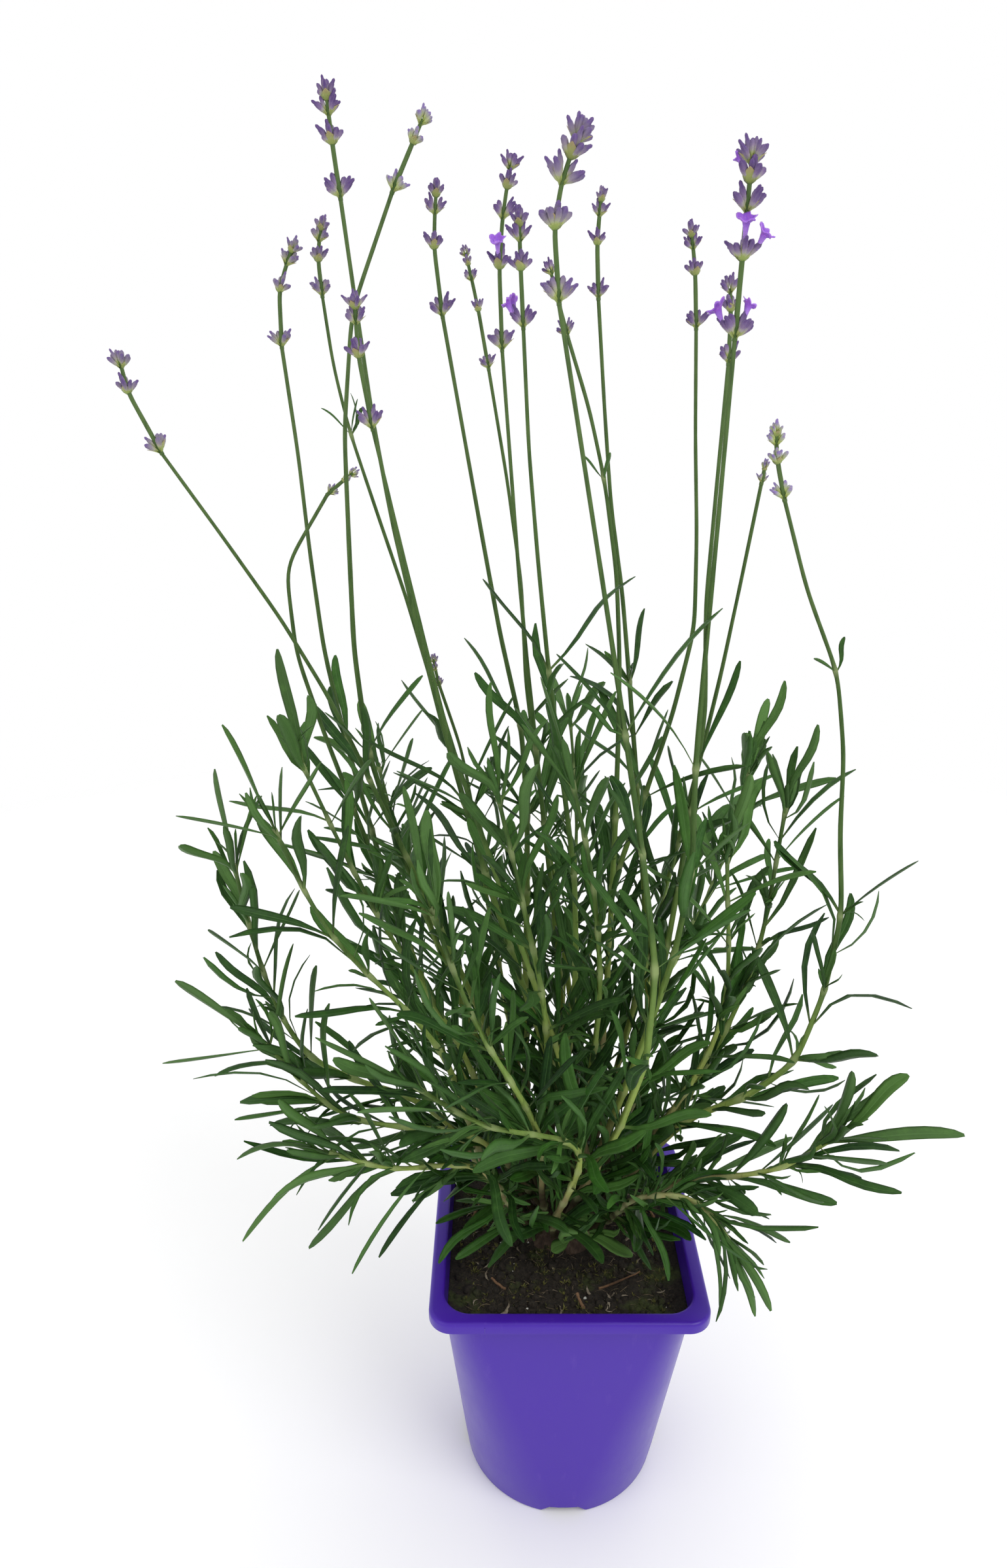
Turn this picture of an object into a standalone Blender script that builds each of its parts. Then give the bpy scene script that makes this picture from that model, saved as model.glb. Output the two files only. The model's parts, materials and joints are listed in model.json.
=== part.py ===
"""Lavender in a square nursery pot: a thin-walled pot, its soil, the woody crown, and the growth that rises from it.

Growth is square-section stems with leaves in opposite pairs, each pair at right angles to the one below. Flower
stalks carry their leaves low down and end just under a spike of whorls. Origin: middle of the pot's underside.
"""

import math
import random

import bmesh
import bpy
import numpy as np
from mathutils import Vector

MM = 0.001
GAP = 0.3 * MM  # between neighbours that touch

# Pot
POT_HEIGHT = 140 * MM
RIM_WIDTH = 130 * MM
RIM_CORNER = 11 * MM
LIP_OVERHANG = 5.5 * MM
LIP_DEPTH = 6 * MM
WALL = 1.4 * MM
BODY_CORNER = 14.5 * MM
BASE_RADIUS = 50 * MM
FOOT_WIDTH = 5 * MM
FLOOR_RAISE = 3 * MM
FOOT_DISC_RADIUS = 12 * MM
EDGE_ROUND = 1.2 * MM
NOTCH_BOTTOM = 24 * MM
NOTCH_TOP = 16 * MM
NOTCH_HEIGHT = 4.5 * MM
DRAIN_RADIUS = 4.5 * MM
DRAIN_CIRCLE = 28 * MM
DRAINS = 8
POINTS_PER_CORNER = 8

# Soil and crown
HEADSPACE = 13 * MM
SOIL_RELIEF = 1.6 * MM
CROWN_BACK = 15 * MM
CROWN_RADIUS = 24 * MM
CROWN_SUNK = 8 * MM
CROWN_ROOTED = 6 * MM
STEEPEST_FOOT = math.radians(52)

# Growth, as sizes over the soil
PLANT_HEIGHT = 517 * MM
PLANT_SPREAD = 340 * MM
STALK_FOOT_WIDTH = 3.2 * MM
STALK_TOP_WIDTH = 1.4 * MM
SHOOT_FOOT_WIDTH = 3.0 * MM
SHOOT_TOP_WIDTH = 1.6 * MM
NODE_LENGTH = 2.4 * MM
LEAF_THICKNESS = 0.9 * MM
LEAF_CLEARANCE = 0.35 * MM
RACHIS_RADIUS = 0.9 * MM
WHORL_HEIGHT = 8 * MM
HEAD_CORNERS = 6
SAMPLE = 2 * MM
NUDGE = 0.15 * MM
LONGEST_STEP = 48 * MM

# The routes below were chosen for this height and spread; they stretch with the two sizes above.
ROUTE_HEIGHT = 517
ROUTE_SPREAD = 340

# Flower stalks: places in mm from the pot's axis at soil level, up to the lowest whorl; the spike's tip; its
# whorls, how fast they close up, and their radius; the height of the last leaf pairs; height of a bract pair.
STALKS = [
    dict(route=[(-100, 20, 265), (-125, 20, 315), (-170, 20, 385)], tip=(-184, 20, 427),
         whorls=3, ratio=0.38, radius=6, leafy=240),
    dict(route=[(-105, 45, 255), (-115, 45, 325), (-120, 45, 400), (-123, 45, 426)], tip=(-113, 45, 470),
         whorls=4, ratio=0.50, radius=5.5, leafy=255),
    dict(route=[(-57, 62, 250), (-75, 64, 315), (-101, 65, 400), (-108, 65, 447)], tip=(-105, 65, 482),
         whorls=4, ratio=0.58, radius=5.5, leafy=240, bracts=388),
    dict(route=[(-12, 8, 115), (-45, 10, 225), (-77, 10, 365), (-91, 10, 476)], tip=(-95, 10, 517),
         whorls=4, ratio=0.53, radius=6.5, leafy=235),
    dict(route=[(-90, 22, 250), (-95, 22, 335), (-96, 22, 385), (-88, 22, 450), (-73, 22, 480)], tip=(-58, 22, 510),
         whorls=3, ratio=0.40, radius=5, leafy=255),
    dict(route=[(-50, -10, 262), (-66, -10, 330), (-80, -10, 395)], tip=(-85, -10, 445),
         whorls=4, ratio=0.45, radius=6, leafy=240),
    dict(route=[(-112, 30, 262), (-125, 30, 320), (-120, 30, 355), (-105, 30, 368)], tip=(-89, 30, 380),
         whorls=3, ratio=0.50, radius=3.2, leafy=225),
    dict(route=[(-20, 33, 240), (-34, 33, 318), (-55, 33, 437)], tip=(-56, 33, 490),
         whorls=4, ratio=0.50, radius=6, leafy=262),
    dict(route=[(-18, 70, 262), (-23, 70, 333), (-37, 70, 418)], tip=(-48, 70, 470),
         whorls=5, ratio=0.52, radius=4.3, leafy=225),
    dict(route=[(-19, 20, 260), (-23, 20, 325), (-31, 20, 424)], tip=(-26, 20, 500),
         whorls=5, ratio=0.60, radius=6.5, leafy=255),
    dict(route=[(3, 0, 180), (-11, 0, 294), (-20, 0, 380), (-23, 0, 431)], tip=(-25, 0, 474),
         whorls=4, ratio=0.50, radius=6, leafy=298),
    dict(route=[(22, -48, 112), (31, -60, 180), (16, -53, 283), (3, -50, 356), (-12, -50, 436)], tip=(-4, -50, 493),
         whorls=5, ratio=0.60, radius=8.2, leafy=288),
    dict(route=[(22, 36, 290), (12, 38, 377), (-4, 40, 430)], tip=(-13, 40, 460),
         whorls=3, ratio=0.35, radius=4.5, leafy=215, bracts=371),
    dict(route=[(28, 56, 290), (17, 52, 363), (9, 50, 445)], tip=(10, 50, 491),
         whorls=4, ratio=0.53, radius=5, leafy=275),
    dict(route=[(53, 42, 290), (52, 42, 370), (49, 42, 433)], tip=(44, 42, 475),
         whorls=4, ratio=0.48, radius=5.5, leafy=225),
    dict(route=[(43, -42, 200), (43, -50, 283), (45, -50, 350), (47, -50, 425)], tip=(49, -50, 488),
         whorls=5, ratio=0.60, radius=8.2, leafy=272),
    dict(route=[(58, 20, 260), (56, 20, 315), (59, 20, 419)], tip=(57, 20, 452),
         whorls=3, ratio=0.35, radius=5.5, leafy=225),
    dict(route=[(61, -18, 94), (94, -30, 117), (112, -30, 185), (110, -22, 240), (106, -20, 293), (86, -20, 340),
                (76, -20, 370)], tip=(70, -20, 400),
         whorls=4, ratio=0.50, radius=5, leafy=200, bracts=300),
    dict(route=[(64, 48, 245), (71, 42, 300), (79, 34, 372)], tip=(81, 34, 386),
         whorls=2, ratio=0.50, radius=2.6, leafy=200),
    dict(route=[(-42, 84, 170), (-50, 82, 230), (-62, 80, 271)], tip=(-65, 80, 291),
         whorls=3, ratio=0.50, radius=3, leafy=170),
]

# Leafy shoots: places as above, up to the topmost pair; leaf length and width, and how much leaves hang, in mm.
SHOOTS = [
    dict(route=[(-65, -15, 93), (-115, -25, 124), (-134, -25, 165), (-144, -25, 222)], leaf=(44, 4.4)),
    dict(route=[(-48, -4, 112), (-89, -10, 196), (-115, -12, 262)], leaf=(46, 4.2)),
    dict(route=[(-58, -35, 137), (-101, -42, 196), (-122, -42, 245)], leaf=(42, 4.2)),
    dict(route=[(-45, -38, 95), (-98, -48, 112), (-132, -48, 150)], leaf=(44, 4.2)),
    dict(route=[(-42, -46, 84), (-78, -62, 96), (-104, -66, 108)], leaf=(50, 4.0), hang=0.55),
    dict(route=[(2, -60, 105), (-38, -74, 127), (-66, -76, 148)], leaf=(46, 4.8)),
    dict(route=[(-16, -54, 110), (-42, -76, 178), (-58, -74, 226)], leaf=(46, 4.6)),
    dict(route=[(-10, -28, 150), (-22, -32, 215), (-31, -30, 256)], leaf=(44, 4.6)),
    dict(route=[(12, -22, 150), (7, -32, 215), (-3, -32, 262)], leaf=(44, 4.6)),
    dict(route=[(60, 0, 90), (85, 0, 160), (93, 0, 238)], leaf=(38, 3.2)),
    dict(route=[(45, -15, 80), (70, -16, 140), (66, -18, 222)], leaf=(44, 4.6)),
    dict(route=[(50, -30, 62), (90, -48, 84), (112, -56, 108)], leaf=(50, 5.2)),
    dict(route=[(30, -40, 62), (55, -52, 72), (69, -60, 56)], leaf=(30, 3.4), hang=0.5),
    dict(route=[(3, -20, 20), (10, -27, 30)], leaf=(24, 6.4), pairs=2, hang=0.3),
    dict(route=[(-45, 62, 100), (-82, 96, 165), (-98, 108, 222)], leaf=(44, 4.4)),
    dict(route=[(2, 72, 110), (10, 112, 180), (6, 126, 240)], leaf=(44, 4.4)),
    dict(route=[(48, 60, 100), (84, 92, 160), (100, 100, 222)], leaf=(44, 4.4)),
]
SHOOT_PAIRS = 11
STALK_PAIRS = 7
STALK_LEAF = (50, 4.8)
STALK_BARE = 38 * MM
STALK_SPREAD = 1.2
SHOOT_BARE = 26 * MM


def surface(name, rgb, roughness):
    """A plain material for one sub-part."""
    material = bpy.data.materials.new(name)
    material.use_nodes = True
    shader = material.node_tree.nodes["Principled BSDF"]
    shader.inputs["Base Color"].default_value = (*rgb, 1)
    shader.inputs["Roughness"].default_value = roughness
    shader.inputs["Metallic"].default_value = 0
    return material


def solid(name, bm, collection, material, smooth=None):
    """Turns a finished bmesh into one named object."""
    mesh = bpy.data.meshes.new(name)
    bm.to_mesh(mesh)
    bm.free()
    if smooth is not None:
        mesh.shade_smooth()
        mesh.set_sharp_from_angle(angle=math.radians(smooth))
    mesh.materials.append(material)
    obj = bpy.data.objects.new(name, mesh)
    collection.objects.link(obj)
    return obj


def pull(bm, face, places):
    """Extrudes one face to new places for its corners; gives the end face and the walls, in corner order."""
    end = bmesh.ops.extrude_discrete_faces(bm, faces=[face])["faces"][0]
    for vert, place in zip(end.verts, places):
        vert.co = place
    walls = [next(f for f in edge.link_faces if f is not end) for edge in end.edges]
    return end, walls


def loft(bm, rings):
    """A closed skin through rings of equally many corners, capped at both ends; gives the end face and the walls.

    Each ring turns anticlockwise seen from the next, so that the faces point outwards.
    """
    corners = [bm.verts.new(place) for place in rings[0]]
    face = bm.faces.new(corners)
    walls = []
    for ring in rings[1:]:
        face, step = pull(bm, face, ring)
        walls.append(step)
    bm.faces.new(reversed(corners))
    return face, walls


# ---------------------------------------------------------------- pot, soil and crown


def pot_ring(half, corner, z, y=0.0):
    """A square of half width HALF with round corners; a circle where CORNER equals HALF."""
    corner = min(corner, half)
    turn = math.tau / 4 / POINTS_PER_CORNER
    ring = []
    for quarter in range(4):
        middle = math.tau / 8 + quarter * math.tau / 4
        centre = Vector((math.cos(middle), math.sin(middle))) * (half - corner) * math.sqrt(2)
        for k in range(POINTS_PER_CORNER):
            angle = quarter * math.tau / 4 + (k + 0.5) * turn
            ring.append(Vector((centre.x + corner * math.cos(angle), y + centre.y + corner * math.sin(angle), z)))
    return ring


BODY_TOP_HALF = RIM_WIDTH / 2 - LIP_OVERHANG


def body_section(z, inset):
    """Half width and corner radius of the pot's tapering body at a height, moved inwards by INSET."""
    t = z / POT_HEIGHT
    half = BASE_RADIUS + (BODY_TOP_HALF - BASE_RADIUS) * t - inset
    corner = BASE_RADIUS + (BODY_CORNER - BASE_RADIUS) * t - inset
    return half, corner


def pot_rings():
    """The whole skin of the pot, from the middle of its underside up and over the lip, and down to its floor."""
    foot_inner = BASE_RADIUS - FOOT_WIDTH
    floor = FLOOR_RAISE + WALL
    yield pot_ring(FOOT_DISC_RADIUS, FOOT_DISC_RADIUS, 0)
    yield pot_ring(FOOT_DISC_RADIUS + FLOOR_RAISE / 2, FOOT_DISC_RADIUS + FLOOR_RAISE / 2, FLOOR_RAISE)
    yield pot_ring(foot_inner - FLOOR_RAISE / 2, foot_inner - FLOOR_RAISE / 2, FLOOR_RAISE)
    yield pot_ring(foot_inner, foot_inner, 0)
    yield pot_ring(BASE_RADIUS - EDGE_ROUND, BASE_RADIUS - EDGE_ROUND, 0)
    for z in (EDGE_ROUND, POT_HEIGHT * 0.35, POT_HEIGHT * 0.7):
        yield pot_ring(*body_section(z, 0), z)
    under_lip = POT_HEIGHT - WALL
    skirt = POT_HEIGHT - LIP_DEPTH
    rim = RIM_WIDTH / 2
    yield pot_ring(*body_section(under_lip, 0), under_lip)
    yield pot_ring(rim - WALL, RIM_CORNER - WALL, under_lip)
    yield pot_ring(rim - WALL, RIM_CORNER - WALL, skirt)
    yield pot_ring(rim, RIM_CORNER, skirt)
    yield pot_ring(rim, RIM_CORNER, POT_HEIGHT - EDGE_ROUND)
    yield pot_ring(rim - EDGE_ROUND, RIM_CORNER - EDGE_ROUND, POT_HEIGHT)
    half, corner = body_section(POT_HEIGHT, WALL)
    yield pot_ring(half + EDGE_ROUND, corner, POT_HEIGHT)
    for z in (POT_HEIGHT - EDGE_ROUND, POT_HEIGHT * 0.7, POT_HEIGHT * 0.35, floor):
        yield pot_ring(*body_section(z, WALL), z)


def make_cutter(name, bm, collection):
    cutter = solid(name, bm, collection, surface(name, (0.8, 0.2, 0.2), 0.5))
    cutter.hide_render = True
    cutter.display_type = "WIRE"
    return cutter


def notch_cutter(collection):
    """Four trapezoid notches in the pot's bottom edge, one in the middle of each side."""
    bm = bmesh.new()
    inner = BASE_RADIUS - FOOT_WIDTH - FLOOR_RAISE
    outer = BASE_RADIUS + LIP_OVERHANG
    for side in range(4):
        out = Vector((math.cos(side * math.tau / 4), math.sin(side * math.tau / 4), 0))
        across = Vector((-out.y, out.x, 0))
        outline = [(-NOTCH_BOTTOM / 2, -FLOOR_RAISE), (NOTCH_BOTTOM / 2, -FLOOR_RAISE), (NOTCH_BOTTOM / 2, 0),
                   (NOTCH_TOP / 2, NOTCH_HEIGHT), (-NOTCH_TOP / 2, NOTCH_HEIGHT), (-NOTCH_BOTTOM / 2, 0)]
        loft(bm, [[out * reach + across * u + Vector((0, 0, z)) for u, z in outline] for reach in (inner, outer)])
    return make_cutter("notch_cutter", bm, collection)


def drain_cutter(collection):
    """A ring of round drain holes in the raised floor."""
    bm = bmesh.new()
    for hole in range(DRAINS):
        angle = (hole + 0.5) * math.tau / DRAINS
        made = bmesh.ops.create_cone(bm, cap_ends=True, segments=12, radius1=DRAIN_RADIUS, radius2=DRAIN_RADIUS,
                                     depth=4 * FLOOR_RAISE)
        middle = Vector((math.cos(angle) * DRAIN_CIRCLE, math.sin(angle) * DRAIN_CIRCLE, FLOOR_RAISE))
        bmesh.ops.translate(bm, verts=made["verts"], vec=middle)
    return make_cutter("drain_cutter", bm, collection)


def make_pot(collection, cutters):
    bm = bmesh.new()
    loft(bm, list(pot_rings()))
    pot = solid("pot", bm, collection, surface("violet_plastic", (0.09, 0.03, 0.40), 0.35), smooth=35)
    for cutter in (notch_cutter(cutters), drain_cutter(cutters)):
        cut = pot.modifiers.new(cutter.name, "BOOLEAN")
        cut.operation = "DIFFERENCE"
        cut.object = cutter
    return pot


SOIL_LEVEL = POT_HEIGHT - HEADSPACE
CROWN_CENTRE = Vector((0, CROWN_BACK, SOIL_LEVEL - CROWN_SUNK))
CROWN_FLOOR = CROWN_CENTRE.z - CROWN_ROOTED


def relief(place):
    """Gentle lumps of the soil's surface."""
    wave = math.sin(place.x * 190 + 1) * math.cos(place.y * 230) + 0.6 * math.sin(place.x * 410 + place.y * 350)
    return SOIL_RELIEF * wave / 1.6


def make_soil(collection):
    """Soil fills the pot to below its rim, with a pocket where the crown is rooted."""
    bottom = FLOOR_RAISE + WALL + GAP
    edge = SOIL_LEVEL - 2 * SOIL_RELIEF
    pocket = CROWN_RADIUS + GAP
    rings = [pot_ring(*body_section(bottom, WALL + GAP), bottom), pot_ring(*body_section(edge, WALL + GAP), edge)]
    half, corner = body_section(SOIL_LEVEL, WALL + GAP)
    for share in (0.06, 0.28, 0.52, 0.76):
        size = half + (pocket - half) * share
        round_off = corner + (pocket - corner) * share
        ring = pot_ring(size, round_off, SOIL_LEVEL, CROWN_BACK * share)
        rings.append([place + Vector((0, 0, relief(place))) for place in ring])
    rings.append(pot_ring(pocket, pocket, SOIL_LEVEL, CROWN_BACK))
    rings.append(pot_ring(pocket, pocket, CROWN_FLOOR - GAP, CROWN_BACK))
    bm = bmesh.new()
    loft(bm, rings)
    return solid("potting_soil", bm, collection, surface("damp_soil", (0.03, 0.02, 0.012), 0.95))


def make_crown(collection):
    """The low woody dome that every stem grows from."""
    rings = [pot_ring(CROWN_RADIUS - CROWN_ROOTED / 2, CROWN_RADIUS - CROWN_ROOTED / 2, CROWN_FLOOR, CROWN_BACK)]
    for polar in range(90, 0, -15):
        radius = CROWN_RADIUS * math.sin(math.radians(polar))
        z = CROWN_CENTRE.z + CROWN_RADIUS * math.cos(math.radians(polar))
        rings.append(pot_ring(radius, radius, z, CROWN_BACK))
    bm = bmesh.new()
    loft(bm, rings)
    return solid("woody_crown", bm, collection, surface("brown_wood", (0.12, 0.07, 0.04), 0.85), smooth=50)


# ---------------------------------------------------------------- room for growth


class Thicket:
    """Balls along everything that grows, so that each new stem or leaf can be given a clear way."""

    def __init__(self):
        self.centres = np.empty((0, 3))
        self.radii = np.empty(0)
        self.owners = np.empty(0, int)

    @staticmethod
    def balls(places, radii):
        """Centres and radii every SAMPLE along a broken line, fat enough to close up between them."""
        centres, sizes = [], []
        for (a, b), (ra, rb) in zip(zip(places, places[1:]), zip(radii, radii[1:])):
            count = max(1, math.ceil((b - a).length / SAMPLE))
            for k in range(count):
                centres.append(a.lerp(b, k / count))
                sizes.append(math.hypot(ra + (rb - ra) * k / count, SAMPLE / 2))
        centres.append(places[-1])
        sizes.append(math.hypot(radii[-1], SAMPLE / 2))
        return np.array(centres), np.array(sizes)

    def clear(self, places, radii, owner, near=None, own_reach=0.0):
        """True if the line keeps clear of all growth; its own stem doesn't count within OWN_REACH of NEAR."""
        centres, sizes = self.balls(places, radii)
        if not above_pot(centres, sizes):
            return False
        fattest = sizes.max() + self.radii.max(initial=0)
        close = (self.centres > centres.min(0) - fattest).all(1) & (self.centres < centres.max(0) + fattest).all(1)
        others = self.owners != owner
        if near is not None:
            others |= np.linalg.norm(self.centres - np.array(near), axis=1) > own_reach
        others &= close
        if not others.any():
            return True
        apart = np.linalg.norm(centres[:, None] - self.centres[others][None], axis=2)
        return bool((apart - sizes[:, None] - self.radii[others][None]).min() > LEAF_CLEARANCE)

    def add(self, places, radii, owner):
        centres, sizes = self.balls(places, radii)
        self.centres = np.vstack([self.centres, centres])
        self.radii = np.concatenate([self.radii, sizes])
        self.owners = np.concatenate([self.owners, np.full(len(sizes), owner)])


def above_pot(centres, sizes):
    """Growth stays over the soil and off the rim, and off the floor beside the pot."""
    lowest = centres[:, 2] - sizes
    over_pot = np.abs(centres[:, :2]).max(1) - sizes < RIM_WIDTH / 2 + GAP * 10
    in_middle = np.hypot(centres[:, 0], centres[:, 1] - CROWN_BACK) < CROWN_RADIUS * 1.6
    limit = np.where(over_pot, np.where(in_middle, SOIL_LEVEL + SOIL_RELIEF, POT_HEIGHT + 2 * MM), 0.06)
    return bool((lowest > limit).all())


# ---------------------------------------------------------------- stems


def grown(place):
    """A route's place, in mm at the chosen height and spread, as a place on the plant of today's sizes."""
    wide = PLANT_SPREAD / ROUTE_SPREAD
    tall = PLANT_HEIGHT / ROUTE_HEIGHT
    return Vector((place[0] * wide, place[1] * wide, SOIL_LEVEL + place[2] * tall))


def crown_feet(targets):
    """A direction from the crown's centre for each stem's foot: towards its target, and apart from the others."""
    room = 0.31 * 24 * MM / CROWN_RADIUS
    feet = []
    for k, target in enumerate(targets):
        aim = (target - CROWN_CENTRE).normalized()
        spin = k * 2.4
        feet.append((aim + Vector((math.cos(spin), math.sin(spin), 0)) * 0.02).normalized())
    for _ in range(400):
        for a in range(len(feet)):
            for b in range(a):
                between = feet[a] - feet[b]
                if between.length < room:
                    push = between.normalized() * (room - between.length) * 0.5
                    feet[a] = (feet[a] + push).normalized()
                    feet[b] = (feet[b] - push).normalized()
        for k, foot in enumerate(feet):
            if foot.angle(Vector((0, 0, 1))) > STEEPEST_FOOT:
                flat = Vector((foot.x, foot.y, 0)).normalized()
                feet[k] = flat * math.sin(STEEPEST_FOOT) + Vector((0, 0, math.cos(STEEPEST_FOOT)))
    return feet


def smooth_route(places, step=5 * MM):
    """Places every few millimetres along a Catmull-Rom curve."""
    ends = [2 * places[0] - places[1], *places, 2 * places[-1] - places[-2]]
    line = []
    for p0, p1, p2, p3 in zip(ends, ends[1:], ends[2:], ends[3:]):
        count = max(2, round((p2 - p1).length / step))
        for k in range(count):
            t = k / count
            line.append(0.5 * (2 * p1 + (p2 - p0) * t + (2 * p0 - 5 * p1 + 4 * p2 - p3) * t * t
                               + (3 * p1 - p0 - 3 * p2 + p3) * t ** 3))
    line.append(places[-1])
    return line


class Line:
    """A route measured by length, with a frame that doesn't spin along it."""

    def __init__(self, places, spin):
        self.places = places
        self.at = [0.0]
        for a, b in zip(places, places[1:]):
            self.at.append(self.at[-1] + (b - a).length)
        self.length = self.at[-1]
        ahead = (places[1] - places[0]).normalized()
        side = ahead.orthogonal().normalized()
        side = side * math.cos(spin) + ahead.cross(side) * math.sin(spin)
        self.sides = []
        for k in range(len(places)):
            ahead = self.ahead(k)
            side = (side - ahead * side.dot(ahead)).normalized()
            self.sides.append(side)

    def ahead(self, k):
        return (self.places[min(k + 1, len(self.places) - 1)] - self.places[max(k - 1, 0)]).normalized()

    def frame(self, s):
        """Place, direction and side at length S along the route."""
        s = min(max(s, 0.0), self.length)
        k = min(int(np.searchsorted(self.at, s, side="right")) - 1, len(self.places) - 2)
        t = (s - self.at[k]) / (self.at[k + 1] - self.at[k])
        ahead = self.ahead(k).lerp(self.ahead(k + 1), t).normalized()
        side = self.sides[k].lerp(self.sides[k + 1], t)
        side = (side - ahead * side.dot(ahead)).normalized()
        return self.places[k].lerp(self.places[k + 1], t), ahead, side

    def length_at_height(self, z):
        """How far along the route first reaches a height."""
        for place, s in zip(self.places, self.at):
            if place.z >= z:
                return s
        return self.length


def section(place, ahead, side, radius, corners):
    """A regular ring across a stem; four corners make its faces look along and against SIDE."""
    up = ahead.cross(side)
    turns = [(k + 0.5) * math.tau / corners for k in range(corners)]
    return [place + (side * math.cos(turn) + up * math.sin(turn)) * radius for turn in turns]


class Stem:
    """One stem from the crown: its line, the widths at its ends, and the leaves planned on it."""

    def __init__(self, index, name, design, foot, rng):
        self.index = index
        self.name = name
        self.design = design
        self.rng = rng
        self.stalk = "tip" in design
        self.widths = (STALK_FOOT_WIDTH, STALK_TOP_WIDTH) if self.stalk else (SHOOT_FOOT_WIDTH, SHOOT_TOP_WIDTH)
        self.foot = CROWN_CENTRE + foot * (CROWN_RADIUS + GAP)
        self.out = foot
        self.spin = rng.uniform(0, math.tau)
        self.route = [grown(place) for place in design["route"]]
        self.leaves = []

    def width(self, s):
        return self.widths[0] + (self.widths[1] - self.widths[0]) * min(1.0, s / self.line.length * 1.15)

    def ways(self):
        """The stem's line, with the places that aren't fixed by a spike moved one way after another."""
        first = self.route[0]
        reach = (first - self.foot).length
        aim = (first - self.foot).normalized()
        rise = self.foot + (self.out * 0.4 + aim * 0.6).normalized() * reach * 0.3
        for attempt in range(200):
            nudge = Vector([self.rng.uniform(-1, 1) for _ in range(3)]) * attempt * NUDGE
            start = [self.foot, rise + nudge] if reach > 60 * MM else [self.foot]
            free = 1 if self.stalk else len(self.route)
            yield smooth_route([*start, *[p + nudge * 0.3 for p in self.route[:free]], *self.route[free:]])

    def settle(self, thicket):
        for places in self.ways():
            self.line = Line(places, self.spin)
            bends = [self.line.frame(s)[0] for s in self.rings_at()]
            radii = [self.width(s) * math.sqrt(0.5) for s in self.rings_at()]
            if thicket.clear(bends, radii, self.index):
                thicket.add(bends, radii, self.index)
                return
        raise ValueError(f"{self.name} finds no clear way")

    def stations(self):
        """Lengths along the stem where leaf pairs sit, low to high, wider apart towards the top of a stalk."""
        if self.stalk:
            last = self.line.length_at_height(grown((0, 0, self.design["leafy"])).z)
            first = min(last * 0.3, STALK_BARE)
            found = [first + (last - first) * (k / (STALK_PAIRS - 1)) ** STALK_SPREAD for k in range(STALK_PAIRS)]
            if "bracts" in self.design:
                found.append(self.line.length_at_height(grown((0, 0, self.design["bracts"])).z))
            return found
        pairs = self.design.get("pairs", SHOOT_PAIRS)
        first = min(self.line.length * 0.3, SHOOT_BARE)
        last = self.line.length - 4 * MM
        return [first + (last - first) * k / (pairs - 1) for k in range(pairs)]

    def plan(self, thicket):
        """Chooses every leaf so that it keeps clear of what already grows."""
        for order, s in enumerate(self.stations()):
            place, ahead, side = self.line.frame(s)
            axis = side if order % 2 == 0 else ahead.cross(side)
            bract = self.stalk and order >= STALK_PAIRS
            for sign in (1, -1):
                self.plan_leaf(thicket, s, place, ahead, axis * sign, bract)
        if not self.stalk:
            place, ahead, side = self.line.frame(self.line.length)
            self.plan_leaf(thicket, None, place, side, ahead, False)

    def plan_leaf(self, thicket, s, place, ahead, outward, bract):
        length, width = (v * MM for v in self.design.get("leaf", STALK_LEAF))
        hang = self.design.get("hang", 0.12)
        along = self.line.length if s is None else s
        if bract:
            length, width = length * 0.3, width * 0.4
        elif self.stalk:
            width *= 1.0 - 0.3 * along / self.line.length
        base = place + outward * self.width(along) / 2
        for attempt in range(60):
            shorter = 1.0 - 0.6 * attempt / 60
            reach = length * shorter * self.rng.uniform(0.8, 1.1)
            lift = self.rng.uniform(0.55, 1.15) if s is not None else self.rng.uniform(-0.2, 0.2)
            aim = (outward * math.cos(lift) + ahead * math.sin(lift)).normalized()
            sway = ahead.cross(outward) * self.rng.uniform(-0.35, 0.35)
            aim = (aim + sway + Vector((0, 0, 0.22 - 0.5 * hang))).normalized()
            if aim.dot(outward) < 0.25:
                continue
            bend = outward * self.rng.uniform(-0.12, 0.22) - Vector((0, 0, 1)) * hang * self.rng.uniform(0.3, 1)
            middle = base + aim * reach / 2 + bend * reach / 4
            tip = base + aim * reach + bend * reach
            half = width * (0.55 + 0.45 * shorter) / 2
            radii = [self.width(along) / 2, half, LEAF_THICKNESS / 4]
            if thicket.clear([base, middle, tip], radii, self.index, near=base, own_reach=7 * MM):
                thicket.add([base, middle, tip], radii, self.index)
                turn = self.rng.uniform(-0.5, 0.5)
                self.leaves.append(dict(s=s, outward=outward, ahead=ahead, middle=middle, tip=tip, half=half, turn=turn))
                return

    def rings_at(self):
        """Lengths of the stem's rings: two at each leaf pair, and enough between them to keep its bends."""
        found = [0.0, self.line.length]
        for s in self.stations():
            found += [s - NODE_LENGTH / 2, s + NODE_LENGTH / 2]
        found.sort()
        for a, b in zip(list(found), found[1:]):
            extra = math.ceil((b - a) / LONGEST_STEP) - 1
            found += [a + (b - a) * k / (extra + 1) for k in range(1, extra + 1)]
        return sorted(found)

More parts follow.
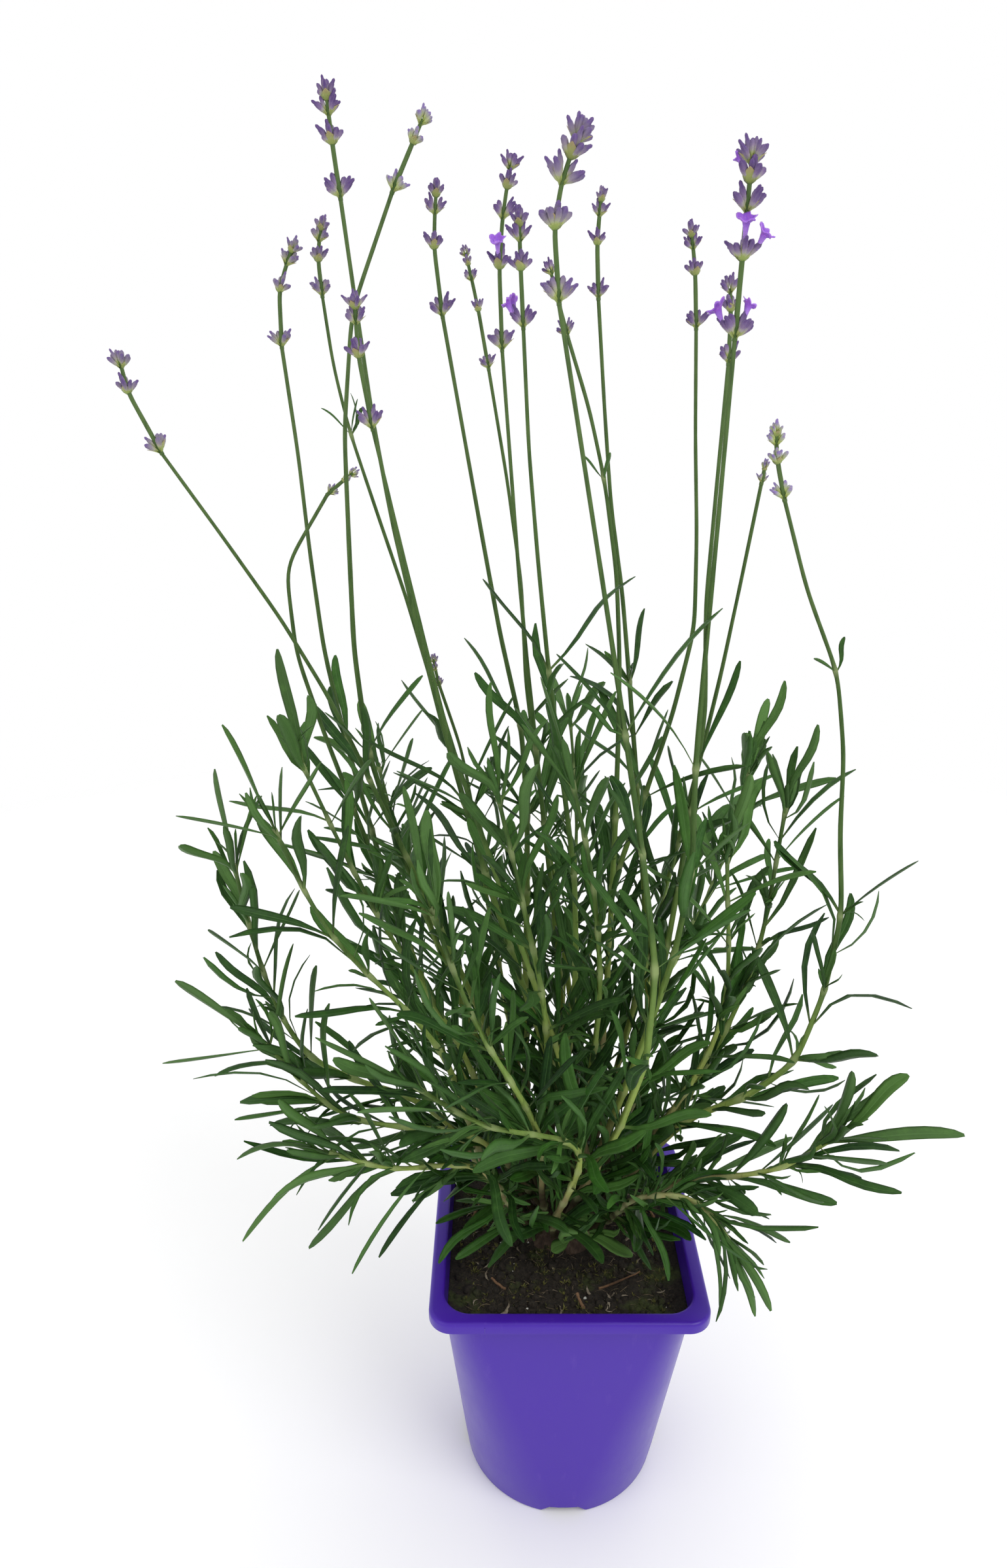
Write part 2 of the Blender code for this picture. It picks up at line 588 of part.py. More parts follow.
    def build(self, collection, material):
        bm = bmesh.new()
        rings_at = self.rings_at()
        rings = [section(*self.line.frame(s), self.width(s) * math.sqrt(0.5), 4) for s in rings_at]
        side = self.line.frame(0)[2]
        flush = (side - self.out * side.dot(self.out)).normalized()
        rings[0] = section(self.foot, self.out, flush, self.widths[0] * math.sqrt(0.5), 4)
        end, walls = loft(bm, rings)
        for leaf in self.leaves:
            if leaf["s"] is None:
                face = end
            else:
                step = min(range(len(walls)), key=lambda k: abs((rings_at[k] + rings_at[k + 1]) / 2 - leaf["s"]))
                face = max(walls[step], key=lambda wall: wall_normal(wall).dot(leaf["outward"]))
                walls[step].remove(face)
            grow_leaf(bm, face, leaf)
        return solid(self.name, bm, collection, material)


def wall_normal(face):
    face.normal_update()
    return face.normal


def grow_leaf(bm, face, leaf):
    """Pulls a leaf out of a stem's face: a flat middle section, then a point."""
    centre = face.calc_center_median()
    aim = (leaf["middle"] - centre).normalized()
    across = leaf["ahead"].cross(aim).normalized()
    over = aim.cross(across)
    side = across * math.cos(leaf["turn"]) + over * math.sin(leaf["turn"])
    up = over * math.cos(leaf["turn"]) - across * math.sin(leaf["turn"])
    places = []
    for vert in face.verts:
        offset = vert.co - centre
        wide = side if offset.dot(across) > 0 else -side
        thick = up if offset.dot(leaf["ahead"]) > 0 else -up
        places.append(leaf["middle"] + wide * leaf["half"] + thick * LEAF_THICKNESS / 2)
    blade, _ = pull(bm, face, places)
    point = bmesh.ops.poke(bm, faces=[blade])["verts"][0]
    point.co = leaf["tip"]


# ---------------------------------------------------------------- flower spikes


class Spike:
    """The flowering end of a stalk: a thin rachis with whorls that open like cups, closer and closer upwards."""

    def __init__(self, index, name, design):
        self.index = index
        self.name = name
        start = grown(design["route"][-1])
        below = grown(design["route"][-2])
        tip = grown(design["tip"])
        away = (start - below).normalized()
        length = (tip - start).length
        bend = start + away * length * 0.5 + (tip - start - away * length) * 0.2
        self.line = Line(smooth_route([start + away * GAP, bend, tip], 3 * MM), 0.0)
        self.radius = design["radius"] * MM * PLANT_SPREAD / (ROUTE_SPREAD * MM)
        usable = self.line.length - 4 * MM
        starts = [usable * (1 - design["ratio"] ** k) for k in range(design["whorls"])]
        self.whorls = []
        for k, s in enumerate(starts):
            room = (starts[k + 1] if k + 1 < len(starts) else self.line.length) - s
            self.whorls.append((s + 0.5 * MM, min(WHORL_HEIGHT, room * 1.05), self.radius * (1 - 0.07 * k)))

    def profile(self):
        """Length and radius of each ring, from the stalk's end to the tip."""
        yield 0.0, RACHIS_RADIUS
        for s, height, radius in self.whorls:
            yield s, RACHIS_RADIUS
            yield s + height * 0.9, radius
            yield s + height * 0.68, RACHIS_RADIUS
        yield self.line.length, RACHIS_RADIUS / 2

    def settle(self, thicket):
        places = [self.line.frame(s)[0] for s, _ in self.profile()]
        radii = [max(self.radius, RACHIS_RADIUS)] * len(places)
        if not thicket.clear(places, radii, self.index):
            raise ValueError(f"{self.name} touches another spike or stalk")
        thicket.add(places, radii, self.index)

    def build(self, collection, material):
        bm = bmesh.new()
        loft(bm, [section(*self.line.frame(s), radius, HEAD_CORNERS) for s, radius in self.profile()])
        return solid(self.name, bm, collection, material)


def make_growth(collection):
    """Routes first, then spikes, then leaves, so that each later thing can grow round the earlier ones."""
    designs = STALKS + SHOOTS
    names = [f"flower_stalk_{k + 1:02d}" for k in range(len(STALKS))]
    names += [f"leafy_shoot_{k + 1:02d}" for k in range(len(SHOOTS))]
    feet = crown_feet([grown(design["route"][0]) for design in designs])
    stems = [Stem(k, names[k], designs[k], feet[k], random.Random(100 + k)) for k in range(len(designs))]
    spikes = [Spike(k, f"flower_head_{k + 1:02d}", design) for k, design in enumerate(STALKS)]
    thicket = Thicket()
    for spike in spikes:
        spike.settle(thicket)
    for stem in stems:
        stem.settle(thicket)
    for stem in stems:
        stem.plan(thicket)
    green = surface("leaf_green", (0.06, 0.16, 0.05), 0.6)
    stalk_green = surface("stalk_green", (0.10, 0.20, 0.05), 0.6)
    purple = surface("spike_purple", (0.16, 0.10, 0.30), 0.7)
    for stem in stems:
        stem.build(collection, stalk_green if stem.stalk else green)
    for spike in spikes:
        spike.build(collection, purple)


def main():
    for obj in list(bpy.data.objects):
        bpy.data.objects.remove(obj)
    model = bpy.data.collections.new("potted_lavender")
    cutters = bpy.data.collections.new("cutters")
    for collection in (model, cutters):
        bpy.context.scene.collection.children.link(collection)
    make_pot(model, cutters)
    make_soil(model)
    make_crown(model)
    make_growth(model)


main()
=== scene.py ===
"""Looks for the potted lavender: its pot, soil, woody crown, leafy shoots and flower stalks in bloom."""

import itertools
import json
import math
import random
from collections import namedtuple

import bmesh
import bpy
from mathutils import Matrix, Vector, noise

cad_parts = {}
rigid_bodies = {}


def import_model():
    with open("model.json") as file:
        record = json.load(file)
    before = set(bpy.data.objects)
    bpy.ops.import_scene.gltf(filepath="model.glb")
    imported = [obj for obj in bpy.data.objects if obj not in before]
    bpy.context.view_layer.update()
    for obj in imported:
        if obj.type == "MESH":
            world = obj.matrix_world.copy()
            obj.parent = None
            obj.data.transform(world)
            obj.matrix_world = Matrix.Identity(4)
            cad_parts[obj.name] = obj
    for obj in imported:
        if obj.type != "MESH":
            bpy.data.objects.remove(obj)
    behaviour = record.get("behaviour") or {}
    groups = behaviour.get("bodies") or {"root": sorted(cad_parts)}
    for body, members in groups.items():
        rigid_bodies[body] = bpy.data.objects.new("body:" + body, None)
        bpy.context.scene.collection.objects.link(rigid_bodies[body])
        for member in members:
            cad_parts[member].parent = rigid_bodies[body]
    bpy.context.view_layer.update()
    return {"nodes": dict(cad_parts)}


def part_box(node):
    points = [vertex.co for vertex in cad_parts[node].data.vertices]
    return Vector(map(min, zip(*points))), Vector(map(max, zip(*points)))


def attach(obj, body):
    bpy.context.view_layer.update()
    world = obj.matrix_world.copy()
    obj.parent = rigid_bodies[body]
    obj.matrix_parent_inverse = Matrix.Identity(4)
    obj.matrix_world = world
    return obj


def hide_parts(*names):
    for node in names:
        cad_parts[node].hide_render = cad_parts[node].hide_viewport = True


bl_info = {
    "name": "Potted Lavender",
    "version": (1, 0, 0),
    "blender": (4, 5, 0),
    "location": "3D View > Sidebar > Lavender",
    "description": "Grows the finished lavender, its soil and its pot around the packed model",
    "category": "Add Mesh",
}

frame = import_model()
MM = 0.001

POT_LOW, POT_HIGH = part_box("pot")
SOIL_LOW, SOIL_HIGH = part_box("potting_soil")
CROWN_LOW, CROWN_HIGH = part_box("woody_crown")
CROWN_MIDDLE = Vector(((CROWN_LOW.x + CROWN_HIGH.x) / 2, (CROWN_LOW.y + CROWN_HIGH.y) / 2, CROWN_LOW.z))
STALKS = sorted(name for name in frame["nodes"] if name.startswith("flower_stalk_"))
SHOOTS = sorted(name for name in frame["nodes"] if name.startswith("leafy_shoot_"))
HEADS = sorted(name for name in frame["nodes"] if name.startswith("flower_head_"))

# By number of the flower head: how far it is from violet to pale green, and how many flowers are open on each
# of its whorls, from below.
PALE_HEADS = {1: 0.25, 2: 0.3, 3: 0.2, 5: 0.75, 7: 0.6, 9: 0.15, 12: 0.2, 18: 0.85, 19: 0.5, 20: 0.35}
OTHER_HEADS_PALE = 0.05
OPEN_FLOWERS = {16: (2, 2, 0, 2), 11: (2,), 10: (0, 1)}

UP = Vector((0, 0, 1))
QUARTER = math.tau / 4

# How the packed model is read: vertices this close are one, stems and heads have this many sides, and a ring
# of a head is its stem under this radius and a whorl over it.
SAME_PLACE = 1e-5
STEM_SIDES = 4
HEAD_SIDES = 6
RACHIS_LIMIT = 1.2 * MM

# The step along a stem's line, the points along a leaf and a small leaf, and the radians from one leaf to the
# next where they grow in a spiral.
LINE_STEP = 3 * MM
BLADE_POINTS = 9
SPROUT_POINTS = 6
SPIRAL = 2.4

# A shoot under this length has no tufts and no tip, and all its leaves are at least this young.
SHORT_SHOOT = 60 * MM
SHORT_SHOOT_YOUNG = 0.85

SHARP_EDGE = math.radians(38)
DRAIN_HOLES = 8
FIBRES_PER_SCRAP = 5

# Whorls: the radius where calyces have their full size, the radii over which a side has 4 or 3 of them and
# not 2, and the upright ones that close the top whorl.
COMMON_WHORL = 5.6 * MM
LARGE_WHORL = 7.4 * MM
MIDDLING_WHORL = 4.2 * MM
TOP_CALYCES = 3
CALYX_RIBS = 8
COROLLA_POINTS = 30

# Where each group's random numbers start.
SEEDS = {"crown": 41, "shoot": 500, "stalk": 900, "head": 1300}

# The room's light as a share of full strength; the camera always sees it white.
ROOM_LIGHT = 0.85


# Trees of nodes -----------------------------------------------------------------------------------

class Wire:
    """The end of a link in a node tree; sums written with it become Math nodes."""

    def __init__(self, tree, socket):
        self.tree = tree
        self.socket = socket

    def math(self, operation, *values):
        """A Math node over VALUES, of which one is usually this wire."""
        return self.tree.node("ShaderNodeMath", {"operation": operation}, dict(enumerate(values)))

    def __add__(self, other):
        return self.math("ADD", self, other)

    def __sub__(self, other):
        return self.math("SUBTRACT", self, other)

    def __rsub__(self, other):
        return self.math("SUBTRACT", other, self)

    def __mul__(self, other):
        return self.math("MULTIPLY", self, other)

    __rmul__ = __mul__

    def __gt__(self, other):
        return self.math("GREATER_THAN", self, other)

    def __abs__(self):
        return self.math("ABSOLUTE", self)

    def clamped(self):
        """The same value, kept from 0 to 1."""
        return self.tree.node("ShaderNodeClamp", {}, {0: self})


class NodeTree:
    """A node tree in the making."""

    def __init__(self, tree):
        self.tree = tree

    def node(self, kind, settings, sockets, out=0):
        """Adds a node of a KIND: first its SETTINGS, then what its SOCKETS hold or are linked to."""
        node = self.tree.nodes.new(kind)
        for name, value in settings.items():
            if name == "stops":
                ramp = node.color_ramp.elements
                while len(ramp) < len(value):
                    ramp.new(1.0)
                for stop, (place, colour) in zip(ramp, value):
                    stop.position = place
                    stop.color = (*colour, 1)
            elif name == "curve":
                line = node.mapping.curves[0]
                while len(line.points) < len(value):
                    line.points.new(1, 1)
                for point, place in zip(line.points, value):
                    point.location = place
                node.mapping.update()
            else:
                setattr(node, name, value)
        for key, value in sockets.items():
            if isinstance(value, Wire):
                self.tree.links.new(value.socket, node.inputs[key])
            else:
                node.inputs[key].default_value = value
        return Wire(self, node.outputs[out]) if node.outputs else None

    def axis(self, vector, name):
        """One axis of a vector."""
        return self.node("ShaderNodeSeparateXYZ", {}, {0: vector}, name)


class Finish(NodeTree):
    """A procedural material in the making."""

    def __init__(self, name):
        self.material = bpy.data.materials.new(name)
        self.material.use_nodes = True
        super().__init__(self.material.node_tree)
        self.tree.nodes.clear()

    def place(self):
        """The place on the object."""
        return self.node("ShaderNodeTexCoord", {}, {}, "Object")

    def attributes(self, *names):
        """Named values that the mesh carries, one wire for each."""
        return [self.node("ShaderNodeAttribute", {"attribute_type": "GEOMETRY", "attribute_name": name}, {},
                          "Fac") for name in names]

    def noise(self, size, detail=3.0, rough=0.55, stretch=(1, 1, 1)):
        """Soft patches about SIZE across."""
        place = self.node("ShaderNodeMapping", {}, {"Vector": self.place(), "Scale": stretch})
        return self.node("ShaderNodeTexNoise", {}, {"Vector": place, "Scale": 1 / size, "Detail": detail,
                                                    "Roughness": rough})

    def cells(self, size, feature="F1"):
        """Distance to the middles of cells, or to their edges, SIZE across."""
        return self.node("ShaderNodeTexVoronoi", {"feature": feature},
                         {"Vector": self.place(), "Scale": 1 / size}, "Distance")

    def ramp(self, value, *stops):
        """VALUE as a colour, by STOPS of a value and a colour each."""
        return self.node("ShaderNodeValToRGB", {"stops": stops}, {"Fac": value}, "Color")

    def span(self, value, low, high, to_low=0.0, to_high=1.0):
        """VALUE from LOW to HIGH, as a value from TO_LOW to TO_HIGH and never outside them."""
        return self.node("ShaderNodeMapRange", {"clamp": True},
                         {0: value, 1: low, 2: high, 3: to_low, 4: to_high})

    def mix(self, factor, first, second):
        """Colour FIRST where FACTOR is 0 and SECOND where it is 1."""
        return self.node("ShaderNodeMix", {"data_type": "RGBA"},
                         {0: factor, 6: colour(first), 7: colour(second)}, 2)

    def bump(self, height, depth, strength):
        """Relief that goes DEPTH deep."""
        return self.node("ShaderNodeBump", {}, {"Height": height, "Distance": depth, "Strength": strength})

    def done(self, base, roughness, normal=None, **constants):
        """Joins it all to the shader; CONSTANTS are set on the shader's own sockets."""
        sockets = {"Base Color": base, "Roughness": roughness}
        if normal is not None:
            sockets["Normal"] = normal
        sockets.update({name.replace("_", " "): value for name, value in constants.items()})
        shader = self.node("ShaderNodeBsdfPrincipled", {}, sockets)
        self.node("ShaderNodeOutputMaterial", {}, {"Surface": shader})
        return self.material


def colour(value):
    """A wire as it is, and three numbers as a colour socket wants them."""
    return value if isinstance(value, Wire) else (*value[:3], 1)


class Recipe(NodeTree):
    """A Geometry Nodes tree in the making, with named inputs."""

    def __init__(self, name, **inputs):
        self.group = bpy.data.node_groups.new(name, "GeometryNodeTree")
        super().__init__(self.group)
        face = self.group.interface
        face.new_socket("Geometry", in_out="INPUT", socket_type="NodeSocketGeometry")
        face.new_socket("Geometry", in_out="OUTPUT", socket_type="NodeSocketGeometry")
        self.keys = {}
        for key, kind in inputs.items():
            socket = face.new_socket(key.replace("_", " "), in_out="INPUT", socket_type="NodeSocket" + kind)
            self.keys[key] = socket.identifier
        self.entry = self.group.nodes.new("NodeGroupInput")
        self.source = self.input("Geometry")

    def input(self, name):
        """One of the tree's named inputs."""
        return Wire(self, self.entry.outputs[name.replace("_", " ")])

    def attribute(self, name, kind="FLOAT"):
        """A named value that the mesh carries."""
        return self.node("GeometryNodeInputNamedAttribute", {"data_type": kind}, {"Name": name})

    def parts(self):
        """The objects of the collection that the Parts input names, as instances to pick from."""
        return self.node("GeometryNodeCollectionInfo", {},
                         {"Collection": self.input("Parts"), "Separate Children": True,
                          "Reset Children": True})

    def line(self):
        """The mesh's edges as curves of radius 1."""
        curve = self.node("GeometryNodeMeshToCurve", {}, {"Mesh": self.source})
        return self.node("GeometryNodeSetCurveRadius", {}, {"Curve": curve, "Radius": 1.0})

    def swept(self, curve, width):
        """CURVE swept by the outline that the Section input names, WIDTH times as large."""
        section = self.node("GeometryNodeObjectInfo", {}, {"Object": self.input("Section")}, "Geometry")
        outline = self.node("GeometryNodeMeshToCurve", {}, {"Mesh": section})
        return self.node("GeometryNodeCurveToMesh", {},
                         {"Curve": curve, "Profile Curve": outline, "Scale": width, "Fill Caps": True})

    def finish(self, geometry):
        """Ends the tree: instances made real, shaded smooth, in the finish that the Material input names."""
        real = self.node("GeometryNodeRealizeInstances", {}, {"Geometry": geometry})
        smooth = self.node("GeometryNodeSetShadeSmooth", {}, {"Geometry": real})
        dressed = self.node("GeometryNodeSetMaterial", {},
                            {"Geometry": smooth, "Material": self.input("Material")})
        self.node("NodeGroupOutput", {}, {"Geometry": dressed})
        return self

    def run(self, name, mesh, **values):
        """Runs the tree on a MESH and returns a plain mesh object."""
        piece = linked(name, mesh)
        modifier = piece.modifiers.new(name, "NODES")
        modifier.node_group = self.group
        for key, value in values.items():
            modifier[self.keys[key]] = value
        bpy.context.view_layer.update()
        graph = bpy.context.evaluated_depsgraph_get()
        plain = bpy.data.meshes.new_from_object(piece.evaluated_get(graph), preserve_all_data_layers=True,
                                                depsgraph=graph)
        piece.modifiers.remove(modifier)
        piece.data = plain
        plain.name = name
        facing_out(plain)
        return piece


# Meshes -------------------------------------------------------------------------------------------

def linked(name, mesh, collection=None):
    """A new object, linked to a collection or else to the scene."""
    thing = bpy.data.objects.new(name, mesh)
    (collection or bpy.context.scene.collection).objects.link(thing)
    return thing


def facing_out(mesh):
    """Turns a closed mesh the right side out where it is inside out."""
    bm = bmesh.new()
    bm.from_mesh(mesh)
    if bm.calc_volume(signed=True) < 0:
        bmesh.ops.reverse_faces(bm, faces=bm.faces)
        bm.to_mesh(mesh)
    bm.free()


def loft_mesh(name, rings, values=None):
    """A closed skin through rings of points with equal counts. VALUES gives a named value for each ring."""
    around = len(rings[0])
    places = [point for ring in rings for point in ring]
    faces = [(low + k, low + (k + 1) % around, low + around + (k + 1) % around, low + around + k)
             for low in range(0, len(places) - around, around) for k in range(around)]
    faces.append(tuple(range(around))[::-1])
    faces.append(tuple(range(len(places) - around, len(places))))
    mesh = bpy.data.meshes.new(name)
    mesh.from_pydata(places, [], faces)
    for key, per_ring in (values or {}).items():
        store(mesh, key, [value for value in per_ring for _ in range(around)])
    mesh.shade_smooth()
    facing_out(mesh)
    return mesh


def store(mesh, name, data):
    """Gives each point of a mesh a named value: a vector, a whole number or a number."""
    if isinstance(data[0], Vector):
        kind, field, data = "FLOAT_VECTOR", "vector", [part for vector in data for part in vector]
    else:
        kind, field = "INT" if isinstance(data[0], int) else "FLOAT", "value"
    mesh.attributes.new(name, kind, "POINT").data.foreach_set(field, data)


def point_mesh(name, points, lines=(), **values):
    """A mesh of loose points, joined by edges within each of LINES, that carries named values."""
    mesh = bpy.data.meshes.new(name)
    mesh.from_pydata(points, [(k, k + 1) for first, last in lines for k in range(first, last)], [])
    for key, data in values.items():
        store(mesh, key, data)
    return mesh


def section_object(name, outline, **values):
    """A closed outline, as the section that a sweep follows."""
    points = [Vector((x, y, 0)) for x, y in outline]
    mesh = point_mesh(name, points, [(0, len(points) - 1)], **values)
    mesh.edges.add(1)
    mesh.edges[-1].vertices = (len(points) - 1, 0)
    return bpy.data.objects.new(name, mesh)


def joined(name, pieces):
    """One object out of several plain ones, which keeps their finishes."""
    with bpy.context.temp_override(active_object=pieces[0], object=pieces[0], selected_objects=pieces,
                                   selected_editable_objects=pieces):
        bpy.ops.object.join()
    pieces[0].name = name
    pieces[0].data.name = name
    return pieces[0]


def settle(piece, slot, *nodes):
    """Hands a finished piece to the frame."""
    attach(piece, "root")
    if nodes:
        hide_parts(*nodes)
    return piece


def rough(place, size, seed=0.0):
    """Smooth noise of about -1 to 1, SIZE across."""
    return noise.noise(place / size + Vector((seed, seed * 0.7, 0)))


def across(way):
    """A direction square to WAY."""
    return way.cross(UP if abs(way.z) < 0.9 else Vector((1, 0, 0))).normalized()


def turned(side, axis, turn):
    """SIDE, which is square to AXIS, turned about it."""
    return side * math.cos(turn) + axis.cross(side) * math.sin(turn)


def level_way(turn):
    """The level direction at an angle."""
    return Vector((math.cos(turn), math.sin(turn), 0))


def tilted_way(tilt, turn):
    """The direction that leans TILT away from straight up, towards the level direction at TURN."""
    return Vector((math.sin(tilt) * math.cos(turn), math.sin(tilt) * math.sin(turn), math.cos(tilt)))


# Reading the packed model -------------------------------------------------------------------------

Leaf = namedtuple("Leaf", "root middle tip side half")
Whorl = namedtuple("Whorl", "place axis radius")


def merged_copy(node):
    """A packed piece's mesh with its corners joined, for reading."""
    bm = bmesh.new()
    bm.from_mesh(frame["nodes"][node].data)
    bmesh.ops.remove_doubles(bm, verts=bm.verts, dist=SAME_PLACE)
    bm.verts.index_update()
    return bm


def neighbours(verts, without=()):
    """Vertices one edge away from VERTS, in a fixed order."""
    found = {edge.other_vert(vert) for vert in verts for edge in vert.link_edges}
    return sorted(found - set(verts) - set(without), key=lambda vert: vert.index)


def middle_of(verts):
    """The mean place of some vertices."""
    return sum((vert.co for vert in verts), Vector()) / len(verts)


def rings_from(first, without=()):
    """Rings of vertices, each one edge further from the FIRST."""
    rings, seen = [list(first)], set(first) | set(without)
    while True:
        ring = [vert for vert in neighbours(rings[-1]) if vert not in seen]
        if not ring:
            return rings
        rings.append(ring)
        seen.update(ring)


def is_leaf_tip(vert, least_alike=0.6):
    """A leaf's point: four edges run back from it in nearly one direction."""
    ways = [(edge.other_vert(vert).co - vert.co).normalized() for edge in vert.link_edges]
    return len(ways) == 4 and all(a.dot(b) > least_alike for a, b in itertools.combinations(ways, 2))


def read_leaf(tip):
    """A leaf of the packed model, and the vertices that are its own."""
    bend = neighbours([tip])
    root = neighbours(bend, [tip])
    corner = bend[0]
    gaps = sorted(((vert.co - corner.co).length, vert.index, vert) for vert in bend[1:])
    wide = gaps[1][2].co - corner.co
    leaf = Leaf(middle_of(root), middle_of(bend), tip.co.copy(), wide.normalized(), wide.length / 2)
    return leaf, [tip, *bend]


class Stem:
    """A stem read back from the packed model: its eased line, its girth along it, and its leaves."""

    def __init__(self, node):
        bm = merged_copy(node)
        leaves = [read_leaf(vert) for vert in bm.verts if is_leaf_tip(vert)]
        blades = {vert for _, own in leaves for vert in own}
        body = sorted((vert for vert in bm.verts if vert not in blades),
                      key=lambda vert: (vert.co - CROWN_MIDDLE).length)
        rings = rings_from(body[:STEM_SIDES], blades)
        self.leaves = [leaf for leaf, _ in leaves]
        self.places, self.girths = eased(
            [middle_of(ring) for ring in rings],
            [(ring[0].co - middle_of(ring)).length / math.sqrt(2) for ring in rings])
        self.reach = [0.0]
        for a, b in itertools.pairwise(self.places):
            self.reach.append(self.reach[-1] + (b - a).length)
        bm.free()

    def nearest(self, place):
        """Which point of the line is nearest to a place."""
        return min(range(len(self.places)), key=lambda k: (self.places[k] - place).length_squared)

    def skin(self, k, out):
        """A place just under the stem's skin at point K, towards OUT."""
        return self.places[k] + out * self.girths[k] * 0.8

    def way(self, k):
        """The line's direction at point K."""
        low, high = max(k - 1, 0), min(k + 1, len(self.places) - 1)
        return (self.places[high] - self.places[low]).normalized()


def eased(places, girths, step=LINE_STEP, passes=10):
    """The same line in even steps, with its corners eased and its ends kept."""
    even, sizes = [places[0]], [girths[0]]
    for (a, b), (low, high) in zip(itertools.pairwise(places), itertools.pairwise(girths)):
        if (b - a).length < step / 2:
            continue
        steps = max(1, round((b - a).length / step))
        for k in range(1, steps + 1):
            even.append(a.lerp(b, k / steps))
            sizes.append(low + (high - low) * k / steps)
    even[-1] = places[-1]
    for _ in range(passes):
        even[1:-1] = [(a + 2 * b + c) / 4 for a, b, c in zip(even, even[1:], even[2:])]
    return even, sizes


def read_head(node, stem_end):
    """A flower head's line, its whorls from below, and its girth."""
    bm = merged_copy(node)
    first = sorted(bm.verts, key=lambda vert: (vert.co - stem_end).length)[:HEAD_SIDES]
    rings = rings_from(first)
    middles = [middle_of(ring) for ring in rings]
    radii = [(ring[0].co - middle).length for ring, middle in zip(rings, middles)]
    slim = [k for k, radius in enumerate(radii) if radius < RACHIS_LIMIT]
    whorls = [Whorl(middles[k - 1], (middles[k] - middles[k - 1]).normalized(), radii[k])
              for k in range(1, len(rings)) if k not in slim]
    bm.free()
    return [middles[k] for k in slim], whorls


# What a user may change ---------------------------------------------------------------------------

def size(name, description, default):
    """A length that a user may change."""
    return bpy.props.FloatProperty(name=name, description=description, default=default, unit="LENGTH")


def share(name, description, default, top=1.0):
    """A share or a factor."""
    return bpy.props.FloatProperty(name=name, description=description, default=default, min=0.0, max=top,
                                   subtype="FACTOR")


def hue(name, description, default):
    """A colour."""
    return bpy.props.FloatVectorProperty(name=name, description=description, default=default, size=3, min=0.0,
                                         max=1.0, subtype="COLOR")


def count(name, description, default):
    """A number of things."""
    return bpy.props.IntProperty(name=name, description=description, default=default, min=0)


class PotLook(bpy.types.PropertyGroup):
    """The moulded plastic pot."""
    plastic: hue("Plastic", "Colour of the pot's plastic", (0.050, 0.0095, 0.335))
    scuffed: hue("Scuffed", "Colour of rubbed and dusty plastic", (0.11, 0.050, 0.40))
    rim: size("Rim", "Width of the square rim", 130 * MM)
    lip_depth: size("Lip Depth", "Height of the rim's skirt", 6 * MM)
    lip_overhang: size("Lip Overhang", "How far the rim stands out from the body", 5.5 * MM)
    wall: size("Wall", "Thickness of the plastic", 1.4 * MM)
    rim_corner: size("Rim Corner", "Radius of the rim's corners", 11 * MM)
    body_corner: size("Body Corner", "Radius of the body's corners just under the rim", 14.5 * MM)
    base: size("Base", "Radius of the round base", 50 * MM)
    foot: size("Foot", "Width of the foot that the pot stands on", 5 * MM)
    floor_raise: size("Floor Raise", "Height of the floor above the foot", 3 * MM)
    notch: bpy.props.FloatVectorProperty(name="Notch",
                                         description="Width at the bottom, at the top, and height",
                                         default=(24 * MM, 16 * MM, 4.5 * MM), size=3, unit="LENGTH")
    drain: size("Drain", "Radius of a drain hole", 4.5 * MM)
    drain_circle: size("Drain Circle", "Radius of the ring of drain holes", 28 * MM)
    seam: size("Seam", "How far the mould's seam on the rim lies from the middle", 39 * MM)


class SoilLook(bpy.types.PropertyGroup):
    """Potting soil and what lies on it."""
    damp: hue("Damp", "Colour of damp soil", (0.010, 0.008, 0.006))
    dry: hue("Dry", "Colour of dry soil", (0.058, 0.043, 0.028))
    moss: hue("Moss", "Colour of moss", (0.075, 0.110, 0.018))
    crumbs: count("Crumbs", "Soil crumbs on a square metre", 90000)
    perlite: count("Perlite", "White grains on a square metre", 2600)
    moss_tufts: count("Moss Tufts", "Tufts of moss on a square metre", 60000)
    scraps: count("Scraps", "Dry leaf scraps on a square metre", 8000)


class StemLook(bpy.types.PropertyGroup):
    """Stems and the woody crown."""
    wood: hue("Wood", "Colour of old wood", (0.062, 0.038, 0.024))
    tan: hue("Ripening", "Colour of ripening wood", (0.30, 0.25, 0.11))
    yellow: hue("Yellow Green", "Colour of the pale middle of the stems", (0.36, 0.44, 0.10))
    green: hue("Green", "Colour of green stems", (0.040, 0.092, 0.016))
    swelling: share("Swelling", "How much thicker a stem is where leaves join it", 0.35)
    uneven: share("Unevenness", "How much the thickness wanders", 0.10)


class LeafLook(bpy.types.PropertyGroup):
    """Leaves and the tufts in their axils."""
    dark: hue("Dark", "Colour of old leaves", (0.0055, 0.030, 0.0045))
    green: hue("Green", "Colour of full-grown leaves", (0.033, 0.118, 0.011))
    grey: hue("Grey", "Colour of young and downy leaves", (0.115, 0.235, 0.055))
    fold: share("Fold", "How much a leaf's halves rise from its midrib", 0.28)
    thickness: share("Thickness", "Thickness of a leaf, as a share of its half width", 0.16)
    petiole: share("Leaf Foot", "Width of a leaf's foot, as a share of its full width", 0.30)
    broadness: share("Broadness", "Width of the leaves, as a share of the packed model's", 1.16, 2.0)
    tuft_leaves: count("Tuft Leaves", "Most small leaves in one axil", 4)
    tuft_length: size("Tuft Length", "Length of the longest leaf in an axil", 27 * MM)
    more_leaves: share("More Leaves", "How many of the gaps between leaf pairs hold another pair", 0.8)
    crowded: size("Crowded Below", "Height over which there are fewer extra leaves", 325 * MM)
    airy: share("Airy Top", "How many of the extra leaves grow over that height", 0.35)


